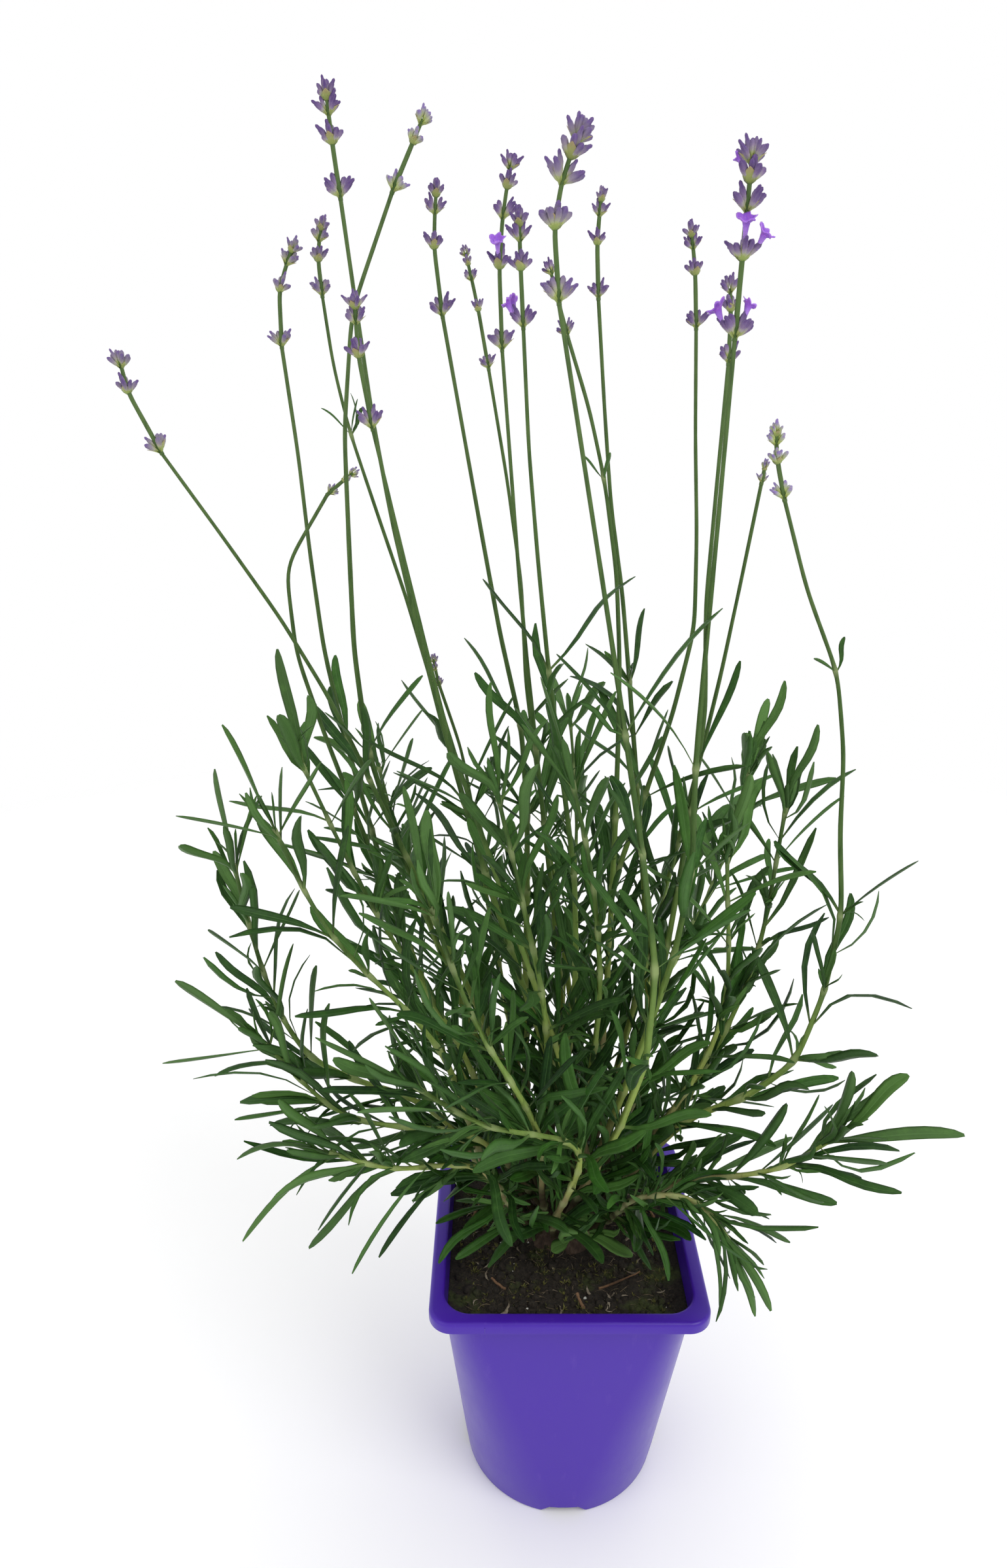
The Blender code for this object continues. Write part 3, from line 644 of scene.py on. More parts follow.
class FlowerLook(bpy.types.PropertyGroup):
    """Calyces, bracts and open flowers."""
    base: hue("Calyx Foot", "Colour of the foot of a calyx", (0.33, 0.40, 0.09))
    down: hue("Calyx Down", "Colour of the downy middle of a calyx", (0.20, 0.125, 0.29))
    tip: hue("Calyx Tip", "Colour of the top of a calyx", (0.070, 0.028, 0.150))
    petal: hue("Petal", "Colour of open petals", (0.26, 0.075, 0.60))
    throat: hue("Throat", "Pale colour in and behind the petals", (0.52, 0.30, 0.80))
    bract: hue("Bract", "Colour of bracts", (0.33, 0.38, 0.11))
    calyx_length: size("Calyx Length", "Length of a calyx", 5.6 * MM)
    calyx_girth: size("Calyx Girth", "Radius of a calyx", 1.02 * MM)


class StageLook(bpy.types.PropertyGroup):
    """Floor, light and camera."""
    floor: hue("Floor", "Colour of the floor", (0.93, 0.93, 0.93))
    floor_radius: size("Floor Radius", "Radius of the round floor", 1.2)
    lens: bpy.props.FloatProperty(name="Lens", description="Focal length", default=24.86, min=1.0,
                                  subtype="DISTANCE_CAMERA")
    camera: bpy.props.FloatVectorProperty(name="Camera", description="Place of the camera",
                                          default=(-0.0305, -0.442, 0.535), size=3, subtype="XYZ",
                                          unit="LENGTH")
    tilt: bpy.props.FloatProperty(name="Tilt", description="How far the camera looks down",
                                  default=math.radians(19.8), subtype="ANGLE", unit="ROTATION")
    brightness: share("Brightness", "Strength of all the lights together", 1.0, 4.0)


# Finishes -----------------------------------------------------------------------------------------

def plastic_finish(look):
    """Violet plastic, a little scuffed, and dusty near its foot."""
    f = Finish("violet_pot_plastic")
    cloud = f.noise(40 * MM, 4)
    grain = f.noise(0.7 * MM, 2, 0.6)
    rubs = f.noise(5 * MM, 5, 0.7, (1, 1, 0.22))
    dusty = f.span(f.axis(f.place(), "Z"), 0.0, 35 * MM, 0.5, 0.0) * f.span(rubs, 0.45, 0.75)
    worn = (f.span(rubs, 0.60, 0.78) * 0.30 + dusty * 0.4).clamped()
    base = f.mix(f.span(cloud, 0.3, 0.7, 0.0, 0.22), look.plastic, (0.062, 0.014, 0.38))
    base = f.mix(worn, base, look.scuffed)
    return f.done(base, f.span(cloud + rubs * 0.6, 0.5, 1.1, 0.30, 0.46),
                  f.bump(grain + rubs * 0.5, 0.05 * MM, 0.4),
                  Specular_IOR_Level=0.2, Coat_Weight=0.35, Coat_Roughness=0.25)


def soil_finish(look):
    """Dark, crumbly soil, greenish in patches."""
    f = Finish("potting_soil")
    crumbs, fine = f.cells(3.2 * MM), f.noise(1.1 * MM, 5, 0.7)
    patches = f.noise(16 * MM, 4)
    base = f.mix(f.span(fine, 0.35, 0.75), look.damp, look.dry)
    base = f.mix(f.span(patches, 0.54, 0.66, 0.0, 0.55), base, look.moss)
    return f.done(base, 0.95, f.bump(crumbs + fine, 1.2 * MM, 0.9))


def grain_finish(name, low, high, grain_size, depth):
    """Crumbly or fibrous stuff between two colours."""
    f = Finish(name)
    fine, wide = f.noise(grain_size, 5, 0.7), f.noise(grain_size * 9, 2)
    base = f.mix(f.span(fine + wide, 0.75, 1.25), low, high)
    return f.done(base, f.span(fine, 0.3, 0.7, 0.75, 0.95), f.bump(fine, depth, 0.8))


def bark_finish(look):
    """Ridged and flaking bark."""
    f = Finish("crown_bark")
    ridges = f.noise(2.2 * MM, 6, 0.75, (1, 1, 0.25))
    flakes = f.cells(4 * MM, "DISTANCE_TO_EDGE")
    base = f.ramp(ridges, (0.25, (0.02, 0.012, 0.008)), (0.5, look.wood), (0.75, (0.15, 0.11, 0.075)))
    return f.done(base, 0.9, f.bump(ridges + flakes * 2, 0.8 * MM, 0.9))


def stem_finish(look):
    """Stems: wood at the foot, yellow green above it, then green, with fine streaks and paler joints."""
    f = Finish("lavender_stem")
    grown, tone, joint = f.attributes("grown", "tone", "joint")
    streaks = f.noise(1.6 * MM, 4, 0.6, (1, 1, 0.12))
    fuzz = f.noise(0.35 * MM, 2)
    drawn = grown + (f.noise(14 * MM, 3) - 0.5) * 0.14 + (tone - 0.5) * 0.10
    base = f.ramp(drawn, (0.0, (0.05, 0.028, 0.018)), (0.08, look.wood), (0.16, look.tan),
                  (0.24, look.yellow), (0.36, (0.20, 0.31, 0.062)), (0.52, look.green), (0.80, look.green),
                  (1.0, (0.065, 0.12, 0.032)))
    base = f.mix(f.span(streaks, 0.35, 0.75, 0.0, 0.30), base, (0.16, 0.24, 0.07))
    base = f.mix(f.span(streaks, 0.45, 0.25, 0.0, 0.5), base, (0.018, 0.042, 0.009))
    base = f.mix(joint * 0.5, base, (0.34, 0.40, 0.18))
    return f.done(base, f.span(fuzz, 0.3, 0.7, 0.50, 0.72), f.bump(streaks + fuzz * 0.5, 0.25 * MM, 0.6),
                  Subsurface_Weight=0.05, Subsurface_Scale=1 * MM, Specular_IOR_Level=0.25)


def leaf_finish(look):
    """Leaves, with a paler midrib, edge, underside and foot, and greyer where young."""
    f = Finish("lavender_leaf")
    along, side, under, tone, young = f.attributes("along", "across", "under", "tone", "young")
    mottle, fuzz = f.noise(5 * MM, 4, 0.65), f.noise(0.4 * MM, 3, 0.7)
    reach = abs(side)
    base = f.mix((tone * 0.8 + f.span(mottle, 0.3, 0.7, -0.2, 0.3)).clamped(), look.dark, look.green)
    base = f.mix((young + f.span(mottle, 0.55, 0.8, 0.0, 0.15)).clamped(), base, look.grey)
    rib = f.span(reach, 0.13, 0.03)
    base = f.mix(rib * (1 - along * 0.6) * 0.45, base, (0.11, 0.24, 0.065))
    base = f.mix(f.span(reach, 0.82, 1.0) * 0.22, base, (0.09, 0.20, 0.05))
    base = f.mix(under * 0.34, base, (0.085, 0.165, 0.058))
    base = f.mix(f.span(along, 0.14, 0.0) * 0.6, base, (0.24, 0.34, 0.10))
    veins = f.noise(1.0 * MM, 3, 0.6)
    return f.done(base, f.span(fuzz, 0.3, 0.7, 0.42, 0.62),
                  f.bump(veins * 0.6 + fuzz * 0.4 - rib, 0.22 * MM, 0.55), Specular_IOR_Level=0.2)


def calyx_finish(look):
    """Calyces: green at the foot and violet at the top, or nearly pale green all over in a young head."""
    f = Finish("lavender_calyx")
    along, tone, pale, rib = f.attributes("along", "tone", "pale", "rib")
    mottle, fuzz = f.noise(1.3 * MM, 4, 0.65), f.noise(0.25 * MM, 2)
    drawn = along + (mottle - 0.5) * 0.35 + (tone - 0.5) * 0.24
    violet = f.ramp(drawn, (0.0, look.base), (0.20, (0.38, 0.43, 0.15)), (0.38, (0.35, 0.31, 0.34)),
                    (0.56, look.down), (0.74, (0.12, 0.058, 0.215)), (0.92, look.tip))
    green = f.ramp(drawn, (0.0, (0.33, 0.44, 0.06)), (0.45, (0.44, 0.52, 0.15)), (0.75, (0.40, 0.42, 0.34)),
                   (1.0, (0.24, 0.17, 0.42)))
    base = f.mix(pale, violet, green)
    base = f.mix(rib * 0.12, base, (0.42, 0.36, 0.46))
    base = f.mix(f.span(fuzz, 0.5, 0.75) * 0.06, base, (0.50, 0.44, 0.56))
    return f.done(base, 0.68, f.bump(rib + fuzz * 0.6, 0.14 * MM, 0.6), Specular_IOR_Level=0.25,
                  Subsurface_Weight=0.06, Subsurface_Scale=0.8 * MM)


def petal_finish(look):
    """Open petals, paler in the throat."""
    f = Finish("lavender_petal")
    along, tone = f.attributes("along", "tone")
    veins = f.noise(0.5 * MM, 3, 0.6)
    base = f.ramp(along + (veins - 0.5) * 0.2, (0.0, look.throat), (0.35, look.petal), (0.75, look.petal),
                  (1.0, (0.40, 0.17, 0.76)))
    base = f.mix(tone * 0.35, base, (0.17, 0.035, 0.42))
    return f.done(base, 0.5, f.bump(veins, 0.12 * MM, 0.5), Sheen_Weight=0.2, Subsurface_Weight=0.12,
                  Subsurface_Scale=0.8 * MM)


def bract_finish(look):
    """Bracts, green at the foot and dry at the point."""
    f = Finish("lavender_bract")
    along, tone = f.attributes("along", "tone")
    veins = f.noise(0.6 * MM, 3, 0.6, (1, 1, 0.2))
    base = f.ramp(along + (veins - 0.5) * 0.3, (0.0, (0.20, 0.30, 0.05)), (0.5, look.bract),
                  (1.0, (0.36, 0.27, 0.14)))
    base = f.mix(tone * 0.25, base, (0.22, 0.15, 0.08))
    return f.done(base, 0.7, f.bump(veins, 0.12 * MM, 0.6), Sheen_Weight=0.12)


# Recipes ------------------------------------------------------------------------------------------

def stem_recipe():
    """Stems: each line swept by a four-cornered section, thick as its girth says."""
    r = Recipe("stems_along_lines", Section="Object", Unevenness="Float", Material="Material")
    curve = r.line()
    place = r.node("GeometryNodeInputPosition", {}, {})
    wander = r.node("ShaderNodeTexNoise", {}, {"Vector": place, "Scale": 1 / (9 * MM), "Detail": 2.0}) - 0.5
    girth = r.attribute("girth") * (wander * r.input("Unevenness") * 2 + 1)
    return r.finish(r.swept(curve, girth))


def blade_recipe():
    """Leaves: each line swept by a folded section, as wide as a leaf is along its length."""
    r = Recipe("leaves_along_lines", Section="Object", Leaf_Foot="Float", Material="Material")
    curve = r.node("GeometryNodeSetCurveNormal", {"mode": "FREE"},
                   {"Curve": r.line(), "Normal": r.attribute("side", "FLOAT_VECTOR")})
    widths = [(0, 0), (0.10, 0.08), (0.30, 0.58), (0.50, 0.90), (0.70, 1.0), (0.86, 0.88), (0.95, 0.60),
              (1.0, 0.24)]
    shape = r.node("ShaderNodeFloatCurve", {"curve": widths}, {"Factor": 1.0, "Value": r.attribute("along")})
    foot = r.input("Leaf_Foot") * ((1 - r.attribute("along")) * 4).clamped()
    width = r.attribute("half") * (foot + (1 - foot) * shape)
    return r.finish(r.swept(curve, width))


def cluster_recipe():
    """Parts of a flower head: one part of a collection at each point, aimed and sized as the point says."""
    r = Recipe("parts_on_points", Parts="Collection", Material="Material")
    turn = r.node("FunctionNodeAxesToRotation", {"primary_axis": "Z", "secondary_axis": "X"},
                  {"Primary Axis": r.attribute("aim", "FLOAT_VECTOR"),
                   "Secondary Axis": r.attribute("facing", "FLOAT_VECTOR")})
    placed = r.node("GeometryNodeInstanceOnPoints", {},
                    {"Points": r.source, "Instance": r.parts(), "Pick Instance": True,
                     "Instance Index": r.attribute("kind", "INT"), "Rotation": turn,
                     "Scale": r.attribute("scale", "FLOAT_VECTOR")})
    return r.finish(placed)


def scatter_recipe():
    """Loose stuff on a surface: parts of a collection strewn over the top faces, in patches."""
    r = Recipe("strewn_on_top", Parts="Collection", Density="Float", Patchiness="Float", Smallest="Float",
               Largest="Float", Seed="Int", Upright="Float", Reach="Float", Material="Material")
    rise = r.axis(r.node("GeometryNodeInputNormal", {}, {}), "Z")
    place = r.node("GeometryNodeInputPosition", {}, {})
    patch = r.node("ShaderNodeTexNoise", {}, {"Vector": place, "Scale": 1 / (16 * MM), "Detail": 4.0})
    # Inside a square of half width Reach with its corners cut off.
    x, y = abs(r.axis(place, "X")), abs(r.axis(place, "Y"))
    inside = r.input("Reach") > x.math("MAXIMUM", x.math("MAXIMUM", x, y), (x + y) * 0.6)
    where = (rise > 0.5) * (patch > r.input("Patchiness")) * inside
    points = r.node("GeometryNodeDistributePointsOnFaces", {},
                    {"Mesh": r.source, "Selection": where, "Density": r.input("Density"),
                     "Seed": r.input("Seed")})
    half_turn = 3.2
    swing = r.node("FunctionNodeRandomValue", {"data_type": "FLOAT_VECTOR"},
                   {"Min": (-half_turn,) * 3, "Max": (half_turn,) * 3, "Seed": r.input("Seed")})
    lean = 1 - r.input("Upright")
    euler = r.node("ShaderNodeCombineXYZ", {}, {0: r.axis(swing, "X") * lean, 1: r.axis(swing, "Y") * lean,
                                                2: r.axis(swing, "Z")})
    large = r.node("FunctionNodeRandomValue", {"data_type": "FLOAT"},
                   {2: 0.0, 3: 1.0, "Seed": r.input("Seed") + 5}, 1)
    scale = r.input("Smallest") + (r.input("Largest") - r.input("Smallest")) * large * large
    placed = r.node("GeometryNodeInstanceOnPoints", {},
                    {"Points": points, "Instance": r.parts(), "Pick Instance": True,
                     "Rotation": r.node("FunctionNodeEulerToRotation", {}, {0: euler}), "Scale": scale})
    return r.finish(placed)


def stem_outline(points=12):
    """A square with well rounded corners and a radius of about one."""
    turns = [k * math.tau / points for k in range(points)]
    radii = [1.08 + 0.14 * math.cos(4 * (turn - math.tau / 8)) for turn in turns]
    return [(radius * math.cos(turn), radius * math.sin(turn)) for radius, turn in zip(radii, turns)]


def leaf_section(look):
    """A leaf's section of half width one: flat halves that rise from a keeled midrib, thin at their edges."""
    half = look.thickness / 2
    top = [(1.0, 0.0), (0.5, half), (0.0, 0.1 * half), (-0.5, half), (-1.0, 0.0)]
    below = [(-0.5, -half), (0.0, -3.2 * half), (0.5, -half)]
    outline = [(x, y + look.fold * abs(x) ** 1.2) for x, y in top + below]
    return section_object("leaf_section", outline, across=[x for x, _ in outline],
                          under=[0.0] * len(top) + [1.0] * len(below))


class Workshop:
    """Recipes, finishes and sections that several operators share, made once."""

    def __init__(self, scene):
        self.stems = stem_recipe()
        self.blades = blade_recipe()
        self.clusters = cluster_recipe()
        self.scatter = scatter_recipe()
        self.stem = stem_finish(scene.lavender_stems)
        self.leaf = leaf_finish(scene.lavender_leaves)
        self.stem_section = section_object("stem_section", stem_outline())
        self.leaf_section = leaf_section(scene.lavender_leaves)

    def stems_along(self, name, mesh, unevenness, finish):
        """Stems along the lines of a mesh."""
        return self.stems.run(name, mesh, Section=self.stem_section, Unevenness=unevenness, Material=finish)

    def parts(self, name, meshes):
        """A collection of part meshes for a recipe to place."""
        group = bpy.data.collections.new(name)
        for k, mesh in enumerate(meshes):
            linked(f"{name}_{k}", mesh, group)
        return group

    def clear(self, group):
        """Takes away a collection of parts once they have been placed."""
        for thing in list(group.objects):
            bpy.data.objects.remove(thing)
        bpy.data.collections.remove(group)


_shop = []  # holds the workshop once it is made


def workshop():
    """The one workshop, made when it is first asked for."""
    if not _shop:
        _shop.append(Workshop(bpy.context.scene))
    return _shop[0]


# Pot ----------------------------------------------------------------------------------------------

def square_ring(half, corner, z, points=22):
    """A square of half width HALF with round corners of POINTS each; a circle where CORNER equals HALF."""
    corner = min(corner, half)
    reach = (half - corner) * math.sqrt(2)
    ring = []
    for quarter in range(4):
        middle = math.tau / 8 + quarter * QUARTER
        for k in range(points):
            angle = quarter * QUARTER + (k + 0.5) / points * QUARTER
            ring.append(Vector((math.cos(middle) * reach + corner * math.cos(angle),
                                math.sin(middle) * reach + corner * math.sin(angle), z)))
    return ring


def quarter_turns(steps):
    """Angles from none to a quarter turn."""
    return [k / steps * QUARTER for k in range(steps + 1)]


def body_section(look, z, inset):
    """Half width and corner radius of the pot's body at a height, moved inwards by INSET."""
    t = z / POT_HIGH.z
    top = look.rim / 2 - look.lip_overhang
    return look.base + (top - look.base) * t - inset, look.base + (look.body_corner - look.base) * t - inset


def pot_rings(look):
    """The pot's skin, from the middle of its underside up, over its rolled rim and down to its floor."""
    height, wall, rise = POT_HIGH.z, look.wall, look.floor_raise
    middle, inner, edge, roll = 12 * MM, look.base - look.foot, 1.2 * MM, 1.9 * MM
    for half, z in ((middle, 0), (middle + rise / 2, rise), (inner - rise / 2, rise), (inner, 0)):
        yield square_ring(half, half, z)
    for turn in quarter_turns(4):
        yield square_ring(look.base - edge * (1 - math.sin(turn)), look.base, edge * (1 - math.cos(turn)))
    under, skirt, body_rows = height - wall, height - look.lip_depth, 12
    for k in range(1, body_rows + 1):
        z = edge + (under - edge) * k / body_rows
        yield square_ring(*body_section(look, z, 0), z)
    rim, corner = look.rim / 2, look.rim_corner
    for z in (under, skirt + 0.3 * MM):
        yield square_ring(rim - wall, corner - wall, z)
    for out, up in ((0.7, 0.0), (0.3, 0.06), (0.06, 0.3), (0.0, 0.8)):
        yield square_ring(rim - out * MM, corner - out * MM, skirt + up * MM)
    for turn in quarter_turns(6):
        inset = roll * (1 - math.cos(turn))
        yield square_ring(rim - inset, corner - inset, height - roll * (1 - math.sin(turn)))
    half, corner = body_section(look, height, wall)
    for turn in quarter_turns(4):
        yield square_ring(half + edge * (1 - math.sin(turn)), corner, height - edge * (1 - math.cos(turn)))
    inside_rows = 8
    for k in range(1, inside_rows + 1):
        z = height - edge - (height - edge - rise - wall) * k / inside_rows
        yield square_ring(*body_section(look, z, wall), z)


def cut(piece, cutters):
    """Takes the CUTTERS' shapes, which don't touch each other, out of a piece."""
    cutter = joined("cutter", cutters)
    modifier = piece.modifiers.new("cutter", "BOOLEAN")
    modifier.operation = "DIFFERENCE"
    modifier.object = cutter
    bpy.context.view_layer.update()
    graph = bpy.context.evaluated_depsgraph_get()
    piece.data = bpy.data.meshes.new_from_object(piece.evaluated_get(graph))
    piece.modifiers.clear()
    bpy.data.objects.remove(cutter)


def notch(look, side):
    """A trapezoid notch in the pot's bottom edge, in the middle of one side."""
    out = level_way(side * QUARTER)
    along = Vector((-out.y, out.x, 0))
    low, high, tall = look.notch
    outline = [(-low / 2, -MM), (low / 2, -MM), (low / 2, 0.2 * MM), (high / 2, tall - 0.6 * MM),
               (high / 2 - 0.8 * MM, tall), (-high / 2 + 0.8 * MM, tall), (-high / 2, tall - 0.6 * MM),
               (-low / 2, 0.2 * MM)]
    rings = [[out * reach + along * u + UP * z for u, z in outline]
             for reach in (look.base - look.foot - look.floor_raise, look.base + look.lip_overhang)]
    return linked(f"notch_{side}", loft_mesh(f"notch_{side}", rings))


def drain(look, k, points=24):
    """A drain hole through the floor."""
    middle = level_way((k + 0.5) / DRAIN_HOLES * math.tau) * look.drain_circle
    rings = [[middle + level_way(n * math.tau / points) * look.drain + UP * z for n in range(points)]
             for z in (-MM, look.floor_raise + look.wall + MM)]
    return linked(f"drain_{k}", loft_mesh(f"drain_{k}", rings))


def rim_seam(look, half=0.35 * MM, proud=0.2 * MM):
    """The thin upright ridge that the mould leaves on the front of the rim."""
    front = -look.rim / 2
    section = [(-half, 0), (0, -proud), (half, 0), (0, 2 * proud)]
    rings = [[Vector((u - look.seam, front + v, POT_HIGH.z - down)) for u, v in section]
             for down in (look.lip_depth - 0.9 * MM, 2.1 * MM)]
    return linked("rim_seam", loft_mesh("rim_seam", rings))


class LAVENDER_OT_pot(bpy.types.Operator):
    """Make the square violet pot with its rolled rim, notched foot and drain holes"""
    bl_idname = "lavender.pot"
    bl_label = "Pot"

    def execute(self, context):
        look = context.scene.lavender_pot
        piece = linked("violet_pot", loft_mesh("violet_pot", list(pot_rings(look))))
        cut(piece, [notch(look, side) for side in range(4)] + [drain(look, k) for k in range(DRAIN_HOLES)])
        piece = joined("violet_pot", [piece, rim_seam(look)])
        piece.data.shade_smooth()
        piece.data.set_sharp_from_angle(angle=SHARP_EDGE)
        facing_out(piece.data)
        piece.data.materials.clear()
        piece.data.materials.append(plastic_finish(look))
        settle(piece, "pot_plastic", "pot")
        return {"FINISHED"}


# Soil ---------------------------------------------------------------------------------------------

def soil_rings(pot, surface_rows=44, side_rows=4):
    """Lumpy top of the soil from its middle to the wall, then its sides and underside."""
    level, inset = SOIL_HIGH.z - 1.6 * MM, pot.wall - 0.1 * MM
    half, corner = body_section(pot, level, inset)
    for row in range(1, surface_rows + 1):
        t = row / surface_rows
        ring = square_ring(half * t, max(corner * t, half * t * (1 - t)), level)
        for point in ring:
            lumps = (rough(point, 17 * MM) * 1.6 + rough(point, 6 * MM, 3) * 1.1
                     + rough(point, 2.4 * MM, 7) * 0.7)
            point.z += lumps * MM * (1 - 0.6 * t ** 8) - 0.8 * MM * t ** 6
        yield ring
    for k in range(1, side_rows + 1):
        z = level + (SOIL_LOW.z - level) * k / side_rows - (0 if k == side_rows else 1 * MM)
        half, corner = body_section(pot, z, inset)
        yield square_ring(half, corner, z)


def lump(name, seed, stretch=(1, 1, 1), points=8, rows=5, roughness=0.35):
    """An uneven grain of about one unit across, of a few dozen faces."""
    rings = []
    for row in range(rows):
        tilt = (row + 0.6) / (rows + 0.2) * math.pi
        ring = []
        for k in range(points):
            turn = (k + row % 2 / 2) * math.tau / points
            place = tilted_way(tilt, turn) / 2
            place *= 1 + roughness * rough(place, 0.45, seed)
            ring.append(Vector(a * b for a, b in zip(place, stretch)))
        rings.append(ring)
    return loft_mesh(name, rings)


def moss_tuft(name, seed, leaflets=5):
    """A few short pointed leaflets from one spot."""
    rng = random.Random(seed)
    bm = bmesh.new()
    for _ in range(leaflets):
        way = Vector((rng.uniform(-0.8, 0.8), rng.uniform(-0.8, 0.8), 1)).normalized() * rng.uniform(0.5, 1.0)
        side = across(way) * 0.10
        thick = way.cross(side).normalized() * 0.05
        part = loft_mesh("leaflet", [[way * t + side * wide * a + thick * wide * b
                                      for a, b in ((1, 0), (0, 1), (-1, 0), (0, -1))]
                                     for t, wide in ((0, 0.5), (0.45, 1.0), (1.0, 0.1))])
        bm.from_mesh(part)
        bpy.data.meshes.remove(part)
    mesh = bpy.data.meshes.new(name)
    bm.to_mesh(mesh)
    bm.free()
    return mesh


def dry_scrap(name, seed, breadth=1.0):
    """A curled dry leaf or a fibre, about ten units long."""
    rng = random.Random(seed)
    bend = rng.uniform(-1.1, 1.1)
    rings = []
    for t, wide in ((0, 0.15), (0.25, 0.75), (0.55, 1.0), (0.8, 0.7), (1.0, 0.1)):
        middle = Vector((10 * t - 5, 3 * bend * math.sin(math.pi * t), 0.9 * math.sin(math.pi * t) + 0.3))
        rings.append([middle + Vector((0, y * wide * breadth, z))
                      for y, z in ((0.9, 0.25), (0, 0.08), (-0.9, 0.3), (0, -0.1))])
    return loft_mesh(name, rings)


Strewn = namedtuple("Strewn", "name parts density patchiness smallest largest seed upright margin finish")
Twig = namedtuple("Twig", "x y turn long thick")


def strewn_stuff(look, soil):
    """What lies on the soil. Sizes and the margin along the pot's wall are in millimetres."""
    return (
        Strewn("soil_crumbs", [lump("crumb", seed, roughness=0.6) for seed in range(4)], look.crumbs,
               patchiness=0.0, smallest=0.9, largest=4.6, seed=3, upright=0.0, margin=3.5, finish=soil),
        Strewn("perlite", [lump("grain", seed + 9, (1, 0.9, 0.8), roughness=0.5) for seed in range(2)],
               look.perlite,
               patchiness=0.30, smallest=0.5, largest=2.4, seed=11, upright=0.0, margin=3.5,
               finish=grain_finish("perlite", (0.55, 0.53, 0.47), (0.85, 0.84, 0.80), 0.5 * MM, 0.3 * MM)),
        Strewn("moss", [moss_tuft("tuft", seed) for seed in range(3)], look.moss_tufts,
               patchiness=0.48, smallest=1.6, largest=4.6, seed=23, upright=0.85, margin=3.5,
               finish=grain_finish("moss", (0.025, 0.030, 0.006), (0.21, 0.20, 0.045), 0.8 * MM, 0.3 * MM)),
        Strewn("fibres", [dry_scrap("fibre", seed + 5, 0.22) for seed in range(3)],
               look.scraps * FIBRES_PER_SCRAP,
               patchiness=0.2, smallest=0.3, largest=0.9, seed=47, upright=0.85, margin=3.5,
               finish=grain_finish("fibre", (0.06, 0.035, 0.016), (0.30, 0.24, 0.15), 1.0 * MM, 0.2 * MM)),
        Strewn("dry_scraps", [dry_scrap("scrap", seed) for seed in range(3)], look.scraps,
               patchiness=0.2, smallest=0.35, largest=1.1, seed=31, upright=0.92, margin=7.5,
               finish=grain_finish("dry_leaf", (0.15, 0.11, 0.075), (0.42, 0.36, 0.27), 1.0 * MM, 0.3 * MM)),
    )


class LAVENDER_OT_soil(bpy.types.Operator):
    """Make the potting soil with crumbs, moss, white grains, fibres and dry scraps"""
    bl_idname = "lavender.soil"
    bl_label = "Soil"

    def execute(self, context):
        look, pot, shop = context.scene.lavender_soil, context.scene.lavender_pot, workshop()
        mesh = loft_mesh("potting_soil_bed", list(soil_rings(pot)))
        soil = soil_finish(look)
        mesh.materials.append(soil)
        reach = body_section(pot, SOIL_HIGH.z, pot.wall)[0]
        for stuff in strewn_stuff(look, soil):
            group = shop.parts(stuff.name, stuff.parts)
            piece = shop.scatter.run(stuff.name, mesh.copy(), Parts=group, Density=float(stuff.density),
                                     Patchiness=stuff.patchiness, Smallest=stuff.smallest * MM,
                                     Largest=stuff.largest * MM, Seed=stuff.seed, Upright=stuff.upright,
                                     Reach=reach - stuff.margin * MM, Material=stuff.finish)
            shop.clear(group)
            settle(piece, "soil")
        settle(linked("potting_soil_bed", mesh), "soil", "potting_soil")
        return {"FINISHED"}


def crown_rings(centre, radius, rows=26, points=72):
    """A low dome with winding clefts, from its top down to the soil."""
    rings = []
    for row in range(rows):
        tilt = 0.04 + row / (rows - 1) * 1.80
        ring = []
        for k in range(points):
            turn = k * math.tau / points
            way = tilted_way(tilt, turn)
            cleft = math.cos(7 * turn + 2.2 * tilt + 1.5 * rough(way, 0.8)) * math.sin(tilt)
            swell = 1 + 0.045 * cleft + 0.05 * rough(way, 0.35) + 0.02 * rough(way, 0.11, 4)
            ring.append(centre + way * radius * swell)
        rings.append(ring)
    for point in rings[-1]:
        point.z = CROWN_LOW.z
    return rings


def twig_mesh(rng, steps=8):
    """Lines of the old twigs that lie on the soil, each rising a little at one end."""
    twigs = (Twig(0.026, -0.028, turn=0.35, long=0.022, thick=0.55 * MM),
             Twig(-0.033, -0.030, turn=2.6, long=0.008, thick=0.6 * MM),
             Twig(0.006, -0.041, turn=2.0, long=0.007, thick=0.9 * MM),
             Twig(-0.045, 0.02, turn=1.2, long=0.020, thick=0.7 * MM),
             Twig(0.046, 0.024, turn=1.9, long=0.016, thick=0.6 * MM))
    top = SOIL_HIGH.z - 1.0 * MM
    points, girths, lines = [], [], []
    for twig in twigs:
        lines.append((len(points), len(points) + steps))
        for k in range(steps + 1):
            t = k / steps
            points.append(Vector((twig.x + math.cos(twig.turn) * twig.long * (t - 0.5),
                                  twig.y + math.sin(twig.turn) * twig.long * (t - 0.5),
                                  top + twig.thick + rng.uniform(-0.3, 0.3) * MM + 3 * MM * t * t)))
            girths.append(twig.thick * (1 - 0.35 * t) * rng.uniform(0.85, 1.1))
    return point_mesh("old_twigs", points, lines, girth=girths)


